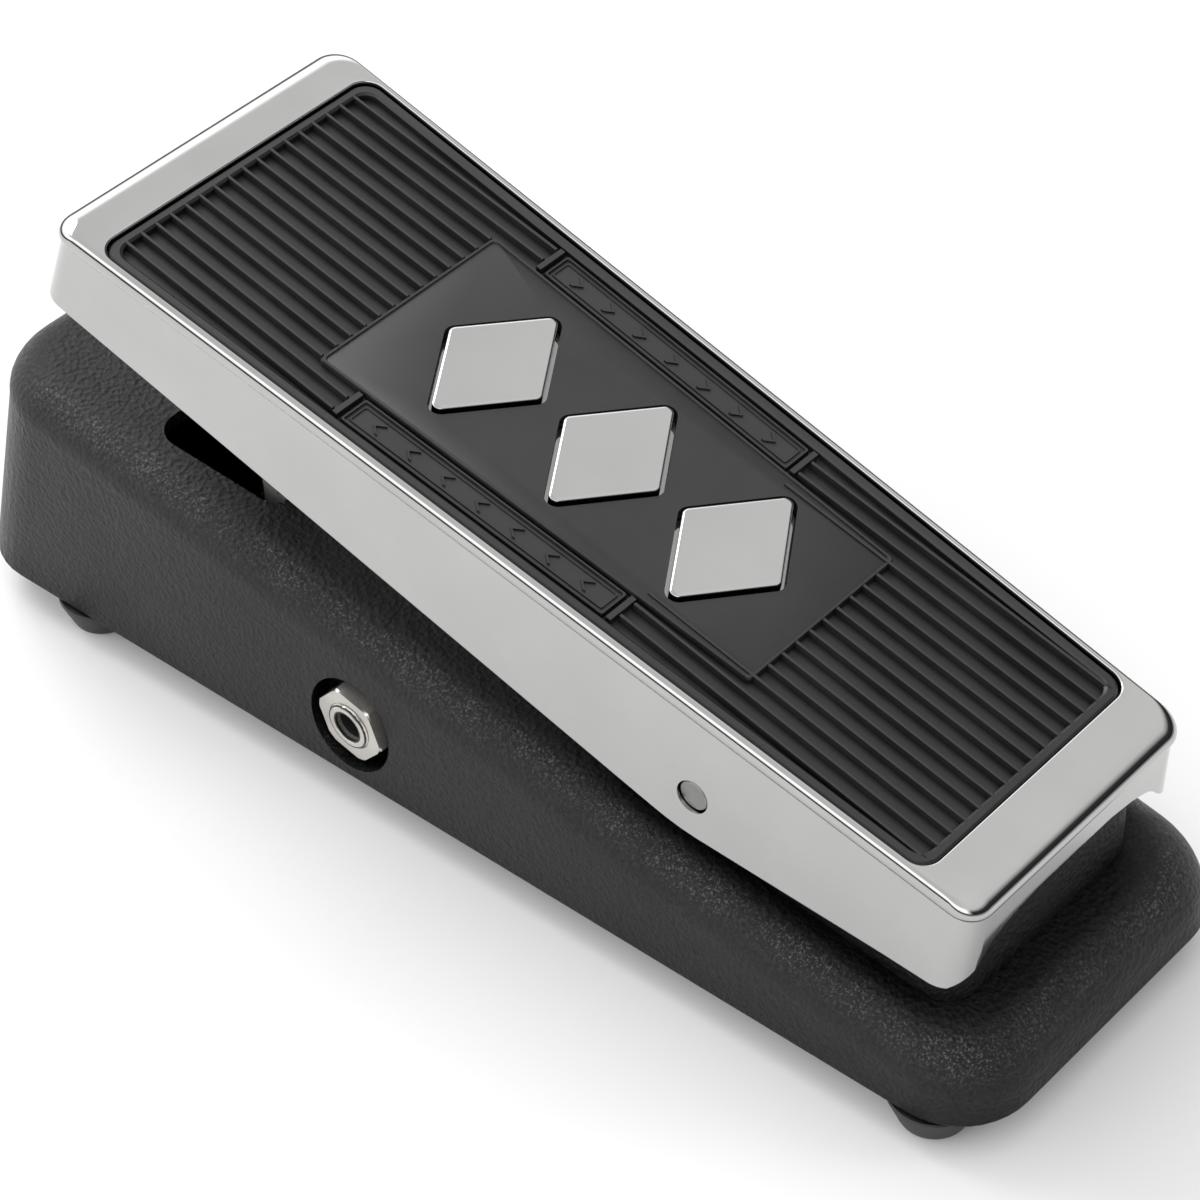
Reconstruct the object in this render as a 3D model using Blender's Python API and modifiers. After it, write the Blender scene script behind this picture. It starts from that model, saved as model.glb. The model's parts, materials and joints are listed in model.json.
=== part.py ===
"""Rocker (wah) guitar effects pedal as an assembly of separate solids.

Frame: origin on the floor under the middle of the base, X to the player's right,
Y from heel to toe, Z up.  Lengths are in metres.  The rest pose is heel down, toe up.
"""
import math

import bmesh
import bpy
from mathutils import Matrix, Vector

# --------------------------------------------------------------------------- driving dimensions
MM = 0.001
GAP = 0.3 * MM                      # clearance between neighbouring pieces
ARC_STEPS = 6                       # segments in a rounded plan corner

# Base casting
HEEL_Y = -126 * MM
TOE_Y = 126 * MM
BASE_HALF_AT_ZERO = 42.7 * MM       # half width of the rim at y = 0
TAPER = 0.0346                      # half width gained per unit of length towards the toe
LIP_Z = 7 * MM                      # underside of the casting's rim above the floor
BASE_WALL = 3 * MM
BASE_DRAFT = math.tan(math.radians(7))
TOE_DRAFT = math.tan(math.radians(9.8))
BASE_TOE_RADIUS = 16 * MM
BASE_HEEL_RADIUS = 15 * MM
RADIUS_SHRINK = 0.45                # plan radius lost per unit of inset
SHOULDER_RADIUS = 9.5 * MM
SHOULDER_STEPS = 4
TOP_SLOPE = 0.155
TOP_Z_AT_CENTRE = 39.2 * MM

# Pedestal: the hump of the base that carries the hinge, inside the treadle's skirts
PEDESTAL_HEEL_Y = -111.5 * MM
PEDESTAL_TOE_Y = -34.8 * MM
PEDESTAL_RADIUS = 7 * MM
PEDESTAL_CREST_Z = 56 * MM
PEDESTAL_WALL = 2.8 * MM
PEDESTAL_INSET = 3.4 * MM           # from the skirt's outer face to the pedestal's side

# Hinge and treadle.  Treadle coordinates: origin on the hinge axis, y along the tread
# towards the toe, z normal to the tread; TREAD_Z is the top of the rubber ribs.
HINGE_Y = -59.75 * MM
HINGE_Z = 45.7 * MM
REST_TILT = math.radians(12.68)
HINGE_FROM_CENTRE = 65.5 * MM       # along the tread, from the hinge to the tread's reference line
TREAD_Z = 18.9 * MM
TREADLE_TOE = 93.0 * MM + HINGE_FROM_CENTRE
TREADLE_HEEL = -120.8 * MM + HINGE_FROM_CENTRE
TREADLE_HALF_WIDTH = 33.9 * MM      # at the reference line
TREADLE_CORNER = 5 * MM
TREADLE_WALL = 2.4 * MM
RIM_HEIGHT = 0.6 * MM               # rim above the rubber ribs
RIM_ROLL = 2.4 * MM
BEAD_HEIGHT = 3.6 * MM              # from the top of the rim to the crease under it
BEAD_CREASE = 0.45 * MM             # how far the crease sits inside the bead
SKIRT_FLARE = 0.125
SKIRT_DEPTH = 32 * MM               # below TREAD_Z, before the lower edge is trimmed
PLATE_UNDERSIDE = TREAD_Z - 5.8 * MM
ROD_RADIUS = 3 * MM

# Rubber pad
PAD_TOE = 82.0 * MM + HINGE_FROM_CENTRE
PAD_HEEL = -108.6 * MM + HINGE_FROM_CENTRE
PAD_HALF_WIDTH = 31.8 * MM
PAD_CORNER = 4 * MM
PAD_THICKNESS = 3 * MM
RIB_PITCH = 3.647 * MM
RIB_WIDTH = 0.9 * MM
RIB_COUNT = 17
GROOVE_DEPTH = 1.6 * MM
PANEL_TOE = 36.9 * MM + HINGE_FROM_CENTRE
PANEL_HEEL = -63.0 * MM + HINGE_FROM_CENTRE
PANEL_HALF_WIDTH = 21.6 * MM
PANEL_TAPER = 0.033

# Raised diamond ornaments (three, one above the other), standing in windows in the pad
DIAMOND_CENTRES = [15 * MM, -13.5 * MM, -42 * MM]
DIAMOND_HALF_WIDTH = 17 * MM
DIAMOND_HALF_HEIGHT = 11.5 * MM
DIAMOND_CORNER = 1.5 * MM
DIAMOND_GAP = 0.8 * MM

# Toe travel, rack and pinion
RACK_X = -20 * MM
RACK_PIN_Y = 54 * MM
RACK_PIN_Z = 61 * MM
PINION_RADIUS = 5.5 * MM
PINION_TEETH = 11
POT_Z = 31 * MM
RACK_FACE_Y = 52 * MM               # pitch line of the rack's teeth

# Pot, switch, sockets (places inside the base)
PINION_Y = RACK_FACE_Y - PINION_RADIUS
BRACKET_POST_X = -9.9 * MM
BRACKET_POST_YS = [30 * MM, 65 * MM]
BRACKET_SCREW_Z = 31 * MM
SWITCH_X = 8 * MM
SWITCH_Y = 70 * MM
SWITCH_SEAT_Z = 51.8 * MM           # level boss on the sloping top
JACK_Y = 18.2 * MM
JACK_Z = 19.6 * MM
COUNTERBORE_DEPTH = 4.2 * MM
JACK_NUT_THICKNESS = 3.6 * MM
DC_Y = 52 * MM
DC_Z = 20 * MM

# Circuit board
BOARD_Z = 12 * MM
BOARD_THICKNESS = 1.6 * MM
BOARD_SCREW_X = 21.5 * MM
BOARD_SCREW_Y = -20 * MM

# Bottom plate and feet
PLATE_LOW = LIP_Z + 0.5 * MM
PLATE_TOP = LIP_Z + 1.5 * MM
FOOT_HEIGHT = LIP_Z + 0.2 * MM
FOOT_PLACES = {"heel_left": (-31, -111.5), "heel_right": (31, -111.5),
               "toe_left": (-38.5, 94), "toe_right": (38.5, 94)}

BLACK_PAINT = ("black_paint", (0.022, 0.022, 0.023), 0.6, 0.0)
CHROME = ("chrome", (0.78, 0.78, 0.76), 0.08, 1.0)
RUBBER = ("black_rubber", (0.03, 0.03, 0.032), 0.7, 0.0)
STEEL = ("steel", (0.5, 0.5, 0.5), 0.35, 1.0)
NICKEL = ("nickel", (0.66, 0.64, 0.6), 0.2, 1.0)
NYLON = ("white_nylon", (0.8, 0.8, 0.76), 0.5, 0.0)
BLACK_PLASTIC = ("black_plastic", (0.02, 0.02, 0.02), 0.4, 0.0)
BOARD_GREEN = ("board_green", (0.03, 0.16, 0.06), 0.45, 0.0)
RED_CAN = ("red_lacquer", (0.5, 0.03, 0.02), 0.35, 0.0)
YELLOW_FILM = ("yellow_film", (0.72, 0.5, 0.05), 0.45, 0.0)
BLUE_SLEEVE = ("blue_sleeve", (0.03, 0.08, 0.3), 0.4, 0.0)
TAN_BODY = ("tan_body", (0.6, 0.45, 0.28), 0.5, 0.0)
BATTERY_GREY = ("battery_grey", (0.12, 0.12, 0.13), 0.35, 0.3)
FOAM_GREY = ("foam_grey", (0.1, 0.1, 0.1), 0.95, 0.0)
RED_WIRE = ("red_wire", (0.5, 0.02, 0.02), 0.45, 0.0)
BLACK_WIRE = ("black_wire", (0.015, 0.015, 0.015), 0.45, 0.0)
WHITE_WIRE = ("white_wire", (0.75, 0.75, 0.72), 0.45, 0.0)


# --------------------------------------------------------------------------- scene and helpers
for old_object in list(bpy.data.objects):
    bpy.data.objects.remove(old_object, do_unlink=True)

PARTS = bpy.data.collections.new("wah_pedal")
CUTTERS = bpy.data.collections.new("cutters")
bpy.context.scene.collection.children.link(PARTS)
bpy.context.scene.collection.children.link(CUTTERS)


def material(spec):
    """The Principled material for a (name, colour, roughness, metallic) spec, made once."""
    name, colour, roughness, metallic = spec
    if name in bpy.data.materials:
        return bpy.data.materials[name]
    made = bpy.data.materials.new(name)
    made.use_nodes = True
    shader = made.node_tree.nodes["Principled BSDF"]
    shader.inputs["Base Color"].default_value = (*colour, 1)
    shader.inputs["Roughness"].default_value = roughness
    shader.inputs["Metallic"].default_value = metallic
    return made


def add_object(name, mesh, spec, parent=None):
    """Link a mesh as a part, or as a hidden cutter when it has no material."""
    made = bpy.data.objects.new(name, mesh)
    made.parent = parent
    if spec is None:
        CUTTERS.objects.link(made)
        made.hide_render = True
        made.display_type = "WIRE"
    else:
        PARTS.objects.link(made)
        mesh.materials.append(material(spec))
    return made


def mesh_from(bm, name):
    bmesh.ops.recalc_face_normals(bm, faces=bm.faces)
    mesh = bpy.data.meshes.new(name)
    bm.to_mesh(mesh)
    bm.free()
    return mesh


def shade_smooth(made, angle=35):
    made.data.shade_smooth()
    made.data.set_sharp_from_angle(angle=math.radians(angle))
    return made


def box(name, low, high, spec=None, parent=None, bevel=0.0):
    """A box between two corners, with an optional edge bevel."""
    low = Vector(low)
    high = Vector(high)
    bm = bmesh.new()
    bmesh.ops.create_cube(bm, size=1)
    bmesh.ops.scale(bm, vec=high - low, verts=bm.verts)
    made = add_object(name, mesh_from(bm, name), spec, parent)
    made.location = (low + high) / 2
    if bevel:
        modifier = made.modifiers.new("bevel", "BEVEL")
        modifier.width = bevel
        modifier.segments = 2
    return made


AXIS_TURN = {"X": Matrix.Rotation(math.radians(90), 4, "Y"),
             "Y": Matrix.Rotation(math.radians(-90), 4, "X"),
             "Z": Matrix.Identity(4)}


def cylinder(name, radius, start, length, axis="Z", spec=None, parent=None, segments=24):
    """A cylinder that runs from start for length along an axis."""
    bm = bmesh.new()
    lift = Matrix.Translation((0, 0, length / 2))
    bmesh.ops.create_cone(bm, cap_ends=True, segments=segments, radius1=radius,
                          radius2=radius, depth=length, matrix=AXIS_TURN[axis] @ lift)
    made = add_object(name, mesh_from(bm, name), spec, parent)
    made.location = start
    return shade_smooth(made)


def turned(name, profile, start, axis="Z", spec=None, parent=None, segments=24):
    """A turned solid: (radius, height) points, top to bottom down the outer side.

    A profile that starts and ends on the axis is a solid; any other is closed into a ring.
    """
    mesh = bpy.data.meshes.new(name)
    points = [(radius, 0, height) for radius, height in profile]
    edges = [(i, i + 1) for i in range(len(points) - 1)]
    if profile[0][0] > 0:
        edges.append((len(points) - 1, 0))
    mesh.from_pydata(points, edges, [])
    made = add_object(name, mesh, spec, parent)
    made.location = start
    made.rotation_euler = AXIS_TURN[axis].to_euler()
    screw = made.modifiers.new("turn", "SCREW")
    screw.axis = "Z"
    screw.steps = segments
    screw.render_steps = segments
    screw.use_merge_vertices = True
    screw.merge_threshold = 0.00001
    screw.use_smooth_shade = False
    return made


def rounded_polygon(corners, radii, steps=ARC_STEPS):
    """Points of a convex outline (counter-clockwise) whose corners are round."""
    outline = []
    count = len(corners)
    for index in range(count):
        corner = Vector(corners[index])
        before = (Vector(corners[index - 1]) - corner).normalized()
        after = (Vector(corners[(index + 1) % count]) - corner).normalized()
        half_angle = before.angle(after) / 2
        radius = radii[index]
        centre = corner + (before + after).normalized() * (radius / math.sin(half_angle))
        reach = radius / math.tan(half_angle)
        first = corner + before * reach - centre
        sweep = math.pi - 2 * half_angle
        for step in range(steps + 1):
            turn = Matrix.Rotation(sweep * step / steps, 2)
            outline.append(centre + turn @ first)
    return outline


def tapered_outline(half_at_zero, taper, heel, toe, heel_radius, toe_radius,
                    end_insets=(0, 0), side_insets=(0, 0)):
    """A plan outline, wider at the toe, moved inwards by its (heel, toe) insets."""
    heel_y = heel + end_insets[0]
    toe_y = toe - end_insets[1]
    heel_half = half_at_zero + taper * heel_y - side_insets[0]
    toe_half = half_at_zero + taper * toe_y - side_insets[1]
    corners = [(heel_half, heel_y), (toe_half, toe_y), (-toe_half, toe_y), (-heel_half, heel_y)]
    return rounded_polygon(corners, [heel_radius, toe_radius, toe_radius, heel_radius])


def loft(name, rings, spec=None, parent=None):
    """A closed solid through rings of equal point count, bottom to top."""
    bm = bmesh.new()
    loops = [[bm.verts.new(point) for point in ring] for ring in rings]
    for lower, upper in zip(loops, loops[1:]):
        count = len(lower)
        for i in range(count):
            j = (i + 1) % count
            bm.faces.new((lower[i], lower[j], upper[j], upper[i]))
    bm.faces.new(reversed(loops[0]))
    bm.faces.new(loops[-1])
    return add_object(name, mesh_from(bm, name), spec, parent)


def prism(name, outline, low, high, spec=None, parent=None):
    """A flat outline in the XY plane extruded from low to high."""
    curve = bpy.data.curves.new(name, "CURVE")
    curve.dimensions = "2D"
    curve.fill_mode = "BOTH"
    curve.extrude = (high - low) / 2
    spline = curve.splines.new("POLY")
    spline.points.add(len(outline) - 1)
    for point, place in zip(spline.points, outline):
        point.co = (place[0], place[1], 0, 1)
    spline.use_cyclic_u = True
    return curve_to_part(name, curve, spec, parent, (0, 0, (low + high) / 2))


def curve_to_part(name, curve, spec, parent, location=(0, 0, 0)):
    """Turn a curve into a welded mesh part."""
    guide = bpy.data.objects.new(name + "_guide", curve)
    bpy.context.scene.collection.objects.link(guide)
    evaluated = guide.evaluated_get(bpy.context.evaluated_depsgraph_get())
    mesh = bpy.data.meshes.new_from_object(evaluated)
    bpy.data.objects.remove(guide)
    bm = bmesh.new()
    bm.from_mesh(mesh)
    bmesh.ops.remove_doubles(bm, verts=bm.verts, dist=0.00001)
    made = add_object(name, mesh_from(bm, name), spec, parent)
    made.location = location
    return made


def side_prism(name, outline, low_x, high_x, spec=None, parent=None):
    """An outline in the YZ plane extruded along X from low_x to high_x."""
    made = prism(name, outline, low_x, high_x, spec, parent)
    turn = Matrix(((0, 0, 1, 0), (1, 0, 0, 0), (0, 1, 0, 0), (0, 0, 0, 1)))
    made.data.transform(turn @ Matrix.Translation(made.location))
    made.location = (0, 0, 0)
    return made


def front_prism(name, outline, low_y, high_y, spec=None, parent=None):
    """An outline in the XZ plane extruded along Y from low_y to high_y."""
    made = prism(name, [(x, -z) for x, z in outline], low_y, high_y, spec, parent)
    turn = Matrix(((1, 0, 0, 0), (0, 0, 1, 0), (0, -1, 0, 0), (0, 0, 0, 1)))
    made.data.transform(turn @ Matrix.Translation(made.location))
    made.location = (0, 0, 0)
    return made


def combine(target, tool, operation):
    modifier = target.modifiers.new(tool.name, "BOOLEAN")
    modifier.operation = operation
    modifier.object = tool
    modifier.solver = "EXACT"


def cut(target, *tools):
    for tool in tools:
        combine(target, tool, "DIFFERENCE")


def join(target, *tools):
    for tool in tools:
        combine(target, tool, "UNION")


def wire(name, points, spec, radius=0.7 * MM):
    """A hook-up wire through the given points."""
    curve = bpy.data.curves.new(name, "CURVE")
    curve.dimensions = "3D"
    curve.bevel_depth = radius
    curve.bevel_resolution = 2
    curve.use_fill_caps = True
    spline = curve.splines.new("POLY")
    spline.points.add(len(points) - 1)
    for point, place in zip(spline.points, points):
        point.co = (*place, 1)
    return shade_smooth(curve_to_part(name, curve, spec, None), 60)


# --------------------------------------------------------------------------- base
def top_z(y):
    """Height of the base's sloping top above the floor."""
    return TOP_Z_AT_CENTRE + TOP_SLOPE * y


def wall_x(y, z):
    """Distance of the drafted side wall from the middle, below the shoulder."""
    return BASE_HALF_AT_ZERO + TAPER * y - BASE_DRAFT * (z - LIP_Z)


def base_outline(inset, heel_rise=0.0, toe_rise=0.0):
    """Plan outline of the base, moved in by inset and by the draft over the given heights."""
    end_insets = (inset + BASE_DRAFT * heel_rise, inset + TOE_DRAFT * toe_rise)
    side_insets = (inset + BASE_DRAFT * heel_rise, inset + BASE_DRAFT * toe_rise)
    return tapered_outline(BASE_HALF_AT_ZERO, TAPER, HEEL_Y, TOE_Y,
                           BASE_HEEL_RADIUS - RADIUS_SHRINK * inset,
                           BASE_TOE_RADIUS - RADIUS_SHRINK * inset, end_insets, side_insets)


def base_shell(name, offset, bottom, spec=None):
    """The base's drafted wedge with a round shoulder, shrunk by offset on every side."""
    radius = SHOULDER_RADIUS - offset
    rings = [[(x, y, bottom) for x, y in base_outline(offset)]]
    heel_rise = top_z(HEEL_Y) - SHOULDER_RADIUS - LIP_Z
    toe_rise = top_z(TOE_Y) - SHOULDER_RADIUS - LIP_Z
    for step in range(SHOULDER_STEPS + 1):
        angle = math.radians(90) * step / SHOULDER_STEPS
        inset = offset + radius * (1 - math.cos(angle))
        drop = offset + radius * (1 - math.sin(angle))
        outline = base_outline(inset, heel_rise, toe_rise)
        rings.append([(x, y, top_z(y) - drop) for x, y in outline])
    return loft(name, rings, spec)


def pedestal_block(name, offset, bottom):
    """The hump that carries the hinge: vertical sides, flat crest, crest sloping at the heel."""
    half_at_zero = TREADLE_HALF_WIDTH - PEDESTAL_INSET - offset
    outline = tapered_outline(half_at_zero, TAPER, PEDESTAL_HEEL_Y + offset,
                              PEDESTAL_TOE_Y - offset, PEDESTAL_RADIUS, PEDESTAL_RADIUS)

    def crest_z(y):
        behind_hinge = min(y - HINGE_Y, 0)
        return PEDESTAL_CREST_Z - offset + math.tan(REST_TILT) * behind_hinge

    high = 90 * MM
    block = prism(name, outline, bottom, high - 5 * MM)
    roof = [(HEEL_Y, crest_z(HEEL_Y)), (HINGE_Y, crest_z(HINGE_Y)), (0, crest_z(0)),
            (0, high), (HEEL_Y, high)]
    cut(block, side_prism(name + "_roof", roof, -60 * MM, 60 * MM))
    return block


def build_base():
    base = base_shell("base_casting", 0.0, LIP_Z, BLACK_PAINT)
    join(base, pedestal_block("pedestal_outer", 0.0, top_z(PEDESTAL_HEEL_Y) - 6 * MM))
    boss_height = SWITCH_SEAT_Z - top_z(SWITCH_Y) + 4 * MM
    boss_start = (SWITCH_X, SWITCH_Y, SWITCH_SEAT_Z - boss_height)
    join(base, cylinder("switch_boss", 10 * MM, boss_start, boss_height))

    cavity = base_shell("cavity", BASE_WALL, LIP_Z - 1 * MM)
    join(cavity, pedestal_block("pedestal_inner", PEDESTAL_WALL, 12 * MM))
    for place, (x, y) in FOOT_PLACES.items():
        post = cylinder("post_" + place, 4.5 * MM, (x * MM, y * MM, 9.3 * MM), 60 * MM)
        cut(cavity, post)
        bore = cylinder("post_bore_" + place, 1.8 * MM, (x * MM, y * MM, 5 * MM), 12 * MM)
        join(cavity, bore)
    for y in BRACKET_POST_YS:
        post = cylinder("bracket_post", 3 * MM, (BRACKET_POST_X, y, 24 * MM), 60 * MM)
        cut(cavity, post)
    for side in (-1, 1):
        start = (side * BOARD_SCREW_X, BOARD_SCREW_Y, BOARD_Z + BOARD_THICKNESS + GAP)
        cut(cavity, cylinder("board_post", 3 * MM, start, 60 * MM))
        bore_start = (side * BOARD_SCREW_X, BOARD_SCREW_Y, BOARD_Z)
        join(cavity, cylinder("board_bore", 1.4 * MM, bore_start, 8 * MM, segments=16))
    for side in (-1, 1):
        start = side * wall_x(JACK_Y, JACK_Z) - (8 * MM if side > 0 else 0)
        cut(cavity, cylinder("jack_boss", 10.8 * MM, (start, JACK_Y, JACK_Z), 8 * MM, "X"))
    cut(base, cavity)

    slot = rounded_polygon([(-14.5 * MM, 47.5 * MM), (-14.5 * MM, 79 * MM),
                            (-30.6 * MM, 79 * MM), (-27.4 * MM, 47.5 * MM)], [5 * MM] * 4)
    cut(base, prism("rack_slot", slot, 30 * MM, 80 * MM))
    cut(base, cylinder("hinge_holes", 5.8 * MM, (-40 * MM, HINGE_Y, HINGE_Z), 80 * MM, "X"))
    cut(base, cylinder("switch_hole", 6.3 * MM, (SWITCH_X, SWITCH_Y, 30 * MM), 40 * MM))
    for y in BRACKET_POST_YS:
        start = (BRACKET_POST_X - 4 * MM, y, BRACKET_SCREW_Z)
        cut(base, cylinder("bracket_screw_bore", 1.5 * MM, start, 6 * MM, "X"))
    for side in (-1, 1):
        floor_x = side * (wall_x(JACK_Y, JACK_Z) - COUNTERBORE_DEPTH)
        start = floor_x if side > 0 else floor_x - 20 * MM
        cut(base, cylinder("counterbore", 9.9 * MM, (start, JACK_Y, JACK_Z), 20 * MM, "X"))
        start = floor_x - 10 * MM
        cut(base, cylinder("bush_hole", 5.2 * MM, (start, JACK_Y, JACK_Z), 20 * MM, "X"))
    cut(base, cylinder("dc_hole", 5.6 * MM, (30 * MM, DC_Y, DC_Z), 30 * MM, "X"))
    shade_smooth(base)
    return base


def build_bottom_plate():
    inset = BASE_WALL + 0.9 * MM
    outline = base_outline(inset)
    plate = prism("bottom_plate", outline, PLATE_LOW, PLATE_TOP, BLACK_PAINT)
    for x, y in FOOT_PLACES.values():
        cut(plate, cylinder("plate_hole", 2.1 * MM, (x * MM, y * MM, 0), 20 * MM))
    return plate


def build_feet():
    top = FOOT_HEIGHT
    collar_z = LIP_Z - GAP
    foot = [(4 * MM, top), (4 * MM, collar_z), (8.5 * MM, collar_z), (6.7 * MM, 1.4 * MM),
            (5.6 * MM, 0), (3.9 * MM, 0), (3.9 * MM, 3 * MM), (2.1 * MM, 3 * MM), (2.1 * MM, top)]
    screw = [(0, 16 * MM), (1.5 * MM, 16 * MM), (1.5 * MM, 2.7 * MM), (3.4 * MM, 2.7 * MM),
             (3.1 * MM, 0.9 * MM), (0, 0.9 * MM)]
    for place, (x, y) in FOOT_PLACES.items():
        turned("foot_" + place, foot, (x * MM, y * MM, 0), spec=RUBBER)
        turned("foot_screw_" + place, screw, (x * MM, y * MM, 0), spec=STEEL, segments=16)


# --------------------------------------------------------------------------- treadle
HINGE = bpy.data.objects.new("treadle_hinge", None)
HINGE.location = (0, HINGE_Y, HINGE_Z)
HINGE.rotation_euler = (REST_TILT, 0, 0)
PARTS.objects.link(HINGE)


def treadle_outline(inset):
    half_at_zero = TREADLE_HALF_WIDTH - TAPER * HINGE_FROM_CENTRE
    radius = TREADLE_CORNER - RADIUS_SHRINK * inset
    return tapered_outline(half_at_zero, TAPER, TREADLE_HEEL, TREADLE_TOE, radius, radius,
                           (inset, inset), (inset, inset))


def pad_outline(inset):
    half_at_zero = PAD_HALF_WIDTH - TAPER * HINGE_FROM_CENTRE
    return tapered_outline(half_at_zero, TAPER, PAD_HEEL, PAD_TOE, PAD_CORNER, PAD_CORNER,
                           (inset, inset), (inset, inset))


def diamond_outline(centre, grow):
    """A rounded diamond across the tread, its sides moved outwards by grow."""
    half_width = DIAMOND_HALF_WIDTH
    half_height = DIAMOND_HALF_HEIGHT
    side_distance = half_width * half_height / math.hypot(half_width, half_height)
    scale = (side_distance + grow) / side_distance
    corners = [(half_width * scale, centre), (0, centre + half_height * scale),
               (-half_width * scale, centre), (0, centre - half_height * scale)]
    return rounded_polygon(corners, [DIAMOND_CORNER + grow] * 4, 4)


def skirt_edge():
    """Polygon of everything below the skirts' lower edge, in the treadle's YZ plane."""
    low = TREAD_Z - 50 * MM
    edge = [(160, -17.2), (9, -27.1), (5, -27.3), (1, -27.35), (-3, -27), (-42.5, -21.1),
            (-62, -18.6)]
    corners = [(TREADLE_HEEL - 10 * MM, low), (TREADLE_TOE + 10 * MM, low)]
    return corners + [(y * MM, TREAD_Z + z * MM) for y, z in edge]


def heel_arch():
    """Opening in the heel wall, in the treadle's XZ plane: shallow crown, spreading feet."""
    right = [(10, -8.5), (16, -9.5), (20, -10.8), (22.5, -12.3), (24, -14.2), (26, -16),
             (28, -17.2), (30, -18.8), (32, -21), (32, -60)]
    half = [(x * MM, TREAD_Z + z * MM) for x, z in right]
    return half + [(-x, z) for x, z in half[::-1]]


def build_treadle():
    top = TREAD_Z + RIM_HEIGHT
    bottom = TREAD_Z - SKIRT_DEPTH
    crease = top - BEAD_HEIGHT
    flare = SKIRT_FLARE * (crease - bottom) - BEAD_CREASE
    rings = [[(x, y, bottom) for x, y in treadle_outline(-flare)],
             [(x, y, crease) for x, y in treadle_outline(BEAD_CREASE)]]
    roll_steps = 4
    for step in range(roll_steps + 1):
        angle = math.radians(90) * step / roll_steps
        inset = RIM_ROLL * (1 - math.cos(angle))
        height = top - RIM_ROLL * (1 - math.sin(angle))
        rings.append([(x, y, height) for x, y in treadle_outline(inset)])
    treadle = loft("treadle_casting", rings, CHROME, HINGE)

    low = bottom - 1 * MM
    wall_low = TREADLE_WALL - flare - SKIRT_FLARE * 1 * MM
    wall_high = TREADLE_WALL + BEAD_CREASE - SKIRT_FLARE * (crease - PLATE_UNDERSIDE)
    inner = [[(x, y, low) for x, y in treadle_outline(wall_low)],
             [(x, y, PLATE_UNDERSIDE) for x, y in treadle_outline(wall_high)]]
    cut(treadle, loft("treadle_inside", inner, None, HINGE))
    floor = TREAD_Z - PAD_THICKNESS - GAP
    cut(treadle, prism("pad_pocket", pad_outline(-GAP / 2), floor, 40 * MM, None, HINGE))
    cut(treadle, side_prism("skirt_trim", skirt_edge(), -60 * MM, 60 * MM, None, HINGE))
    arch_end = TREADLE_HEEL + 8 * MM
    cut(treadle, front_prism("arch", heel_arch(), TREADLE_HEEL - 5 * MM, arch_end, None, HINGE))
    for centre in DIAMOND_CENTRES:
        outline = diamond_outline(centre + HINGE_FROM_CENTRE, 0.0)
        join(treadle, prism("diamond", outline, floor - 1 * MM, TREAD_Z + 0.3 * MM, None, HINGE))

    pin_y, pin_z = rack_pin_place()
    ear = rounded_polygon([(pin_y - 5 * MM, pin_z - 5 * MM), (pin_y + 5 * MM, pin_z - 5 * MM),
                           (pin_y + 5 * MM, PLATE_UNDERSIDE + 1 * MM),
                           (pin_y - 5 * MM, PLATE_UNDERSIDE + 1 * MM)],
                          [4.5 * MM, 4.5 * MM, 0.1 * MM, 0.1 * MM], 4)
    join(treadle, side_prism("rack_ear", ear, -26 * MM, -24 * MM, None, HINGE))
    cut(treadle, cylinder("pin_bore", 1.8 * MM, (-30 * MM, pin_y, pin_z), 10 * MM, "X", None, HINGE))
    bore = ROD_RADIUS + GAP
    cut(treadle, cylinder("rod_bore", bore, (-50 * MM, 0, 0), 100 * MM, "X", None, HINGE))
    shade_smooth(treadle)
    return treadle


def rack_pin_place():
    """The rack pin's place in treadle coordinates."""
    offset = Vector((0, RACK_PIN_Y - HINGE_Y, RACK_PIN_Z - HINGE_Z))
    local = Matrix.Rotation(-REST_TILT, 3, "X") @ offset
    return local.y, local.z


def groove(name, x, heel_y, toe_y, width):
    low = (x - width / 2, heel_y, TREAD_Z - GROOVE_DEPTH)
    return box(name, low, (x + width / 2, toe_y, TREAD_Z + 5 * MM), None, HINGE)


def build_pad():
    bottom = TREAD_Z - PAD_THICKNESS
    pad = prism("rubber_pad", pad_outline(GAP / 2), bottom, TREAD_Z, RUBBER, HINGE)
    border = 2.2 * MM
    panel_half = PANEL_HALF_WIDTH - PANEL_TAPER * HINGE_FROM_CENTRE
    panel = tapered_outline(panel_half, PANEL_TAPER, PANEL_HEEL, PANEL_TOE, 1 * MM, 1 * MM)
    cut(pad, prism("panel", panel, TREAD_Z - 0.8 * MM, TREAD_Z + 5 * MM, None, HINGE))
    width = RIB_PITCH - RIB_WIDTH
    for rib in range(RIB_COUNT - 1):
        x = (rib - (RIB_COUNT - 2) / 2) * RIB_PITCH
        toe_zone = (PANEL_TOE + 1.5 * MM, PAD_TOE - border)
        heel_zone = (PAD_HEEL + border, PANEL_HEEL - 1.5 * MM)
        for zone, (heel_y, toe_y) in (("toe", toe_zone), ("heel", heel_zone)):
            widest = PAD_HALF_WIDTH + TAPER * (heel_y - HINGE_FROM_CENTRE) - border
            if abs(x) + width / 2 < widest:
                cut(pad, groove("groove_" + zone, x, heel_y, toe_y, width))
    for centre in DIAMOND_CENTRES:
        outline = diamond_outline(centre + HINGE_FROM_CENTRE, DIAMOND_GAP)
        cut(pad, prism("window", outline, bottom - 5 * MM, TREAD_Z + 5 * MM, None, HINGE))
    return pad


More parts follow.
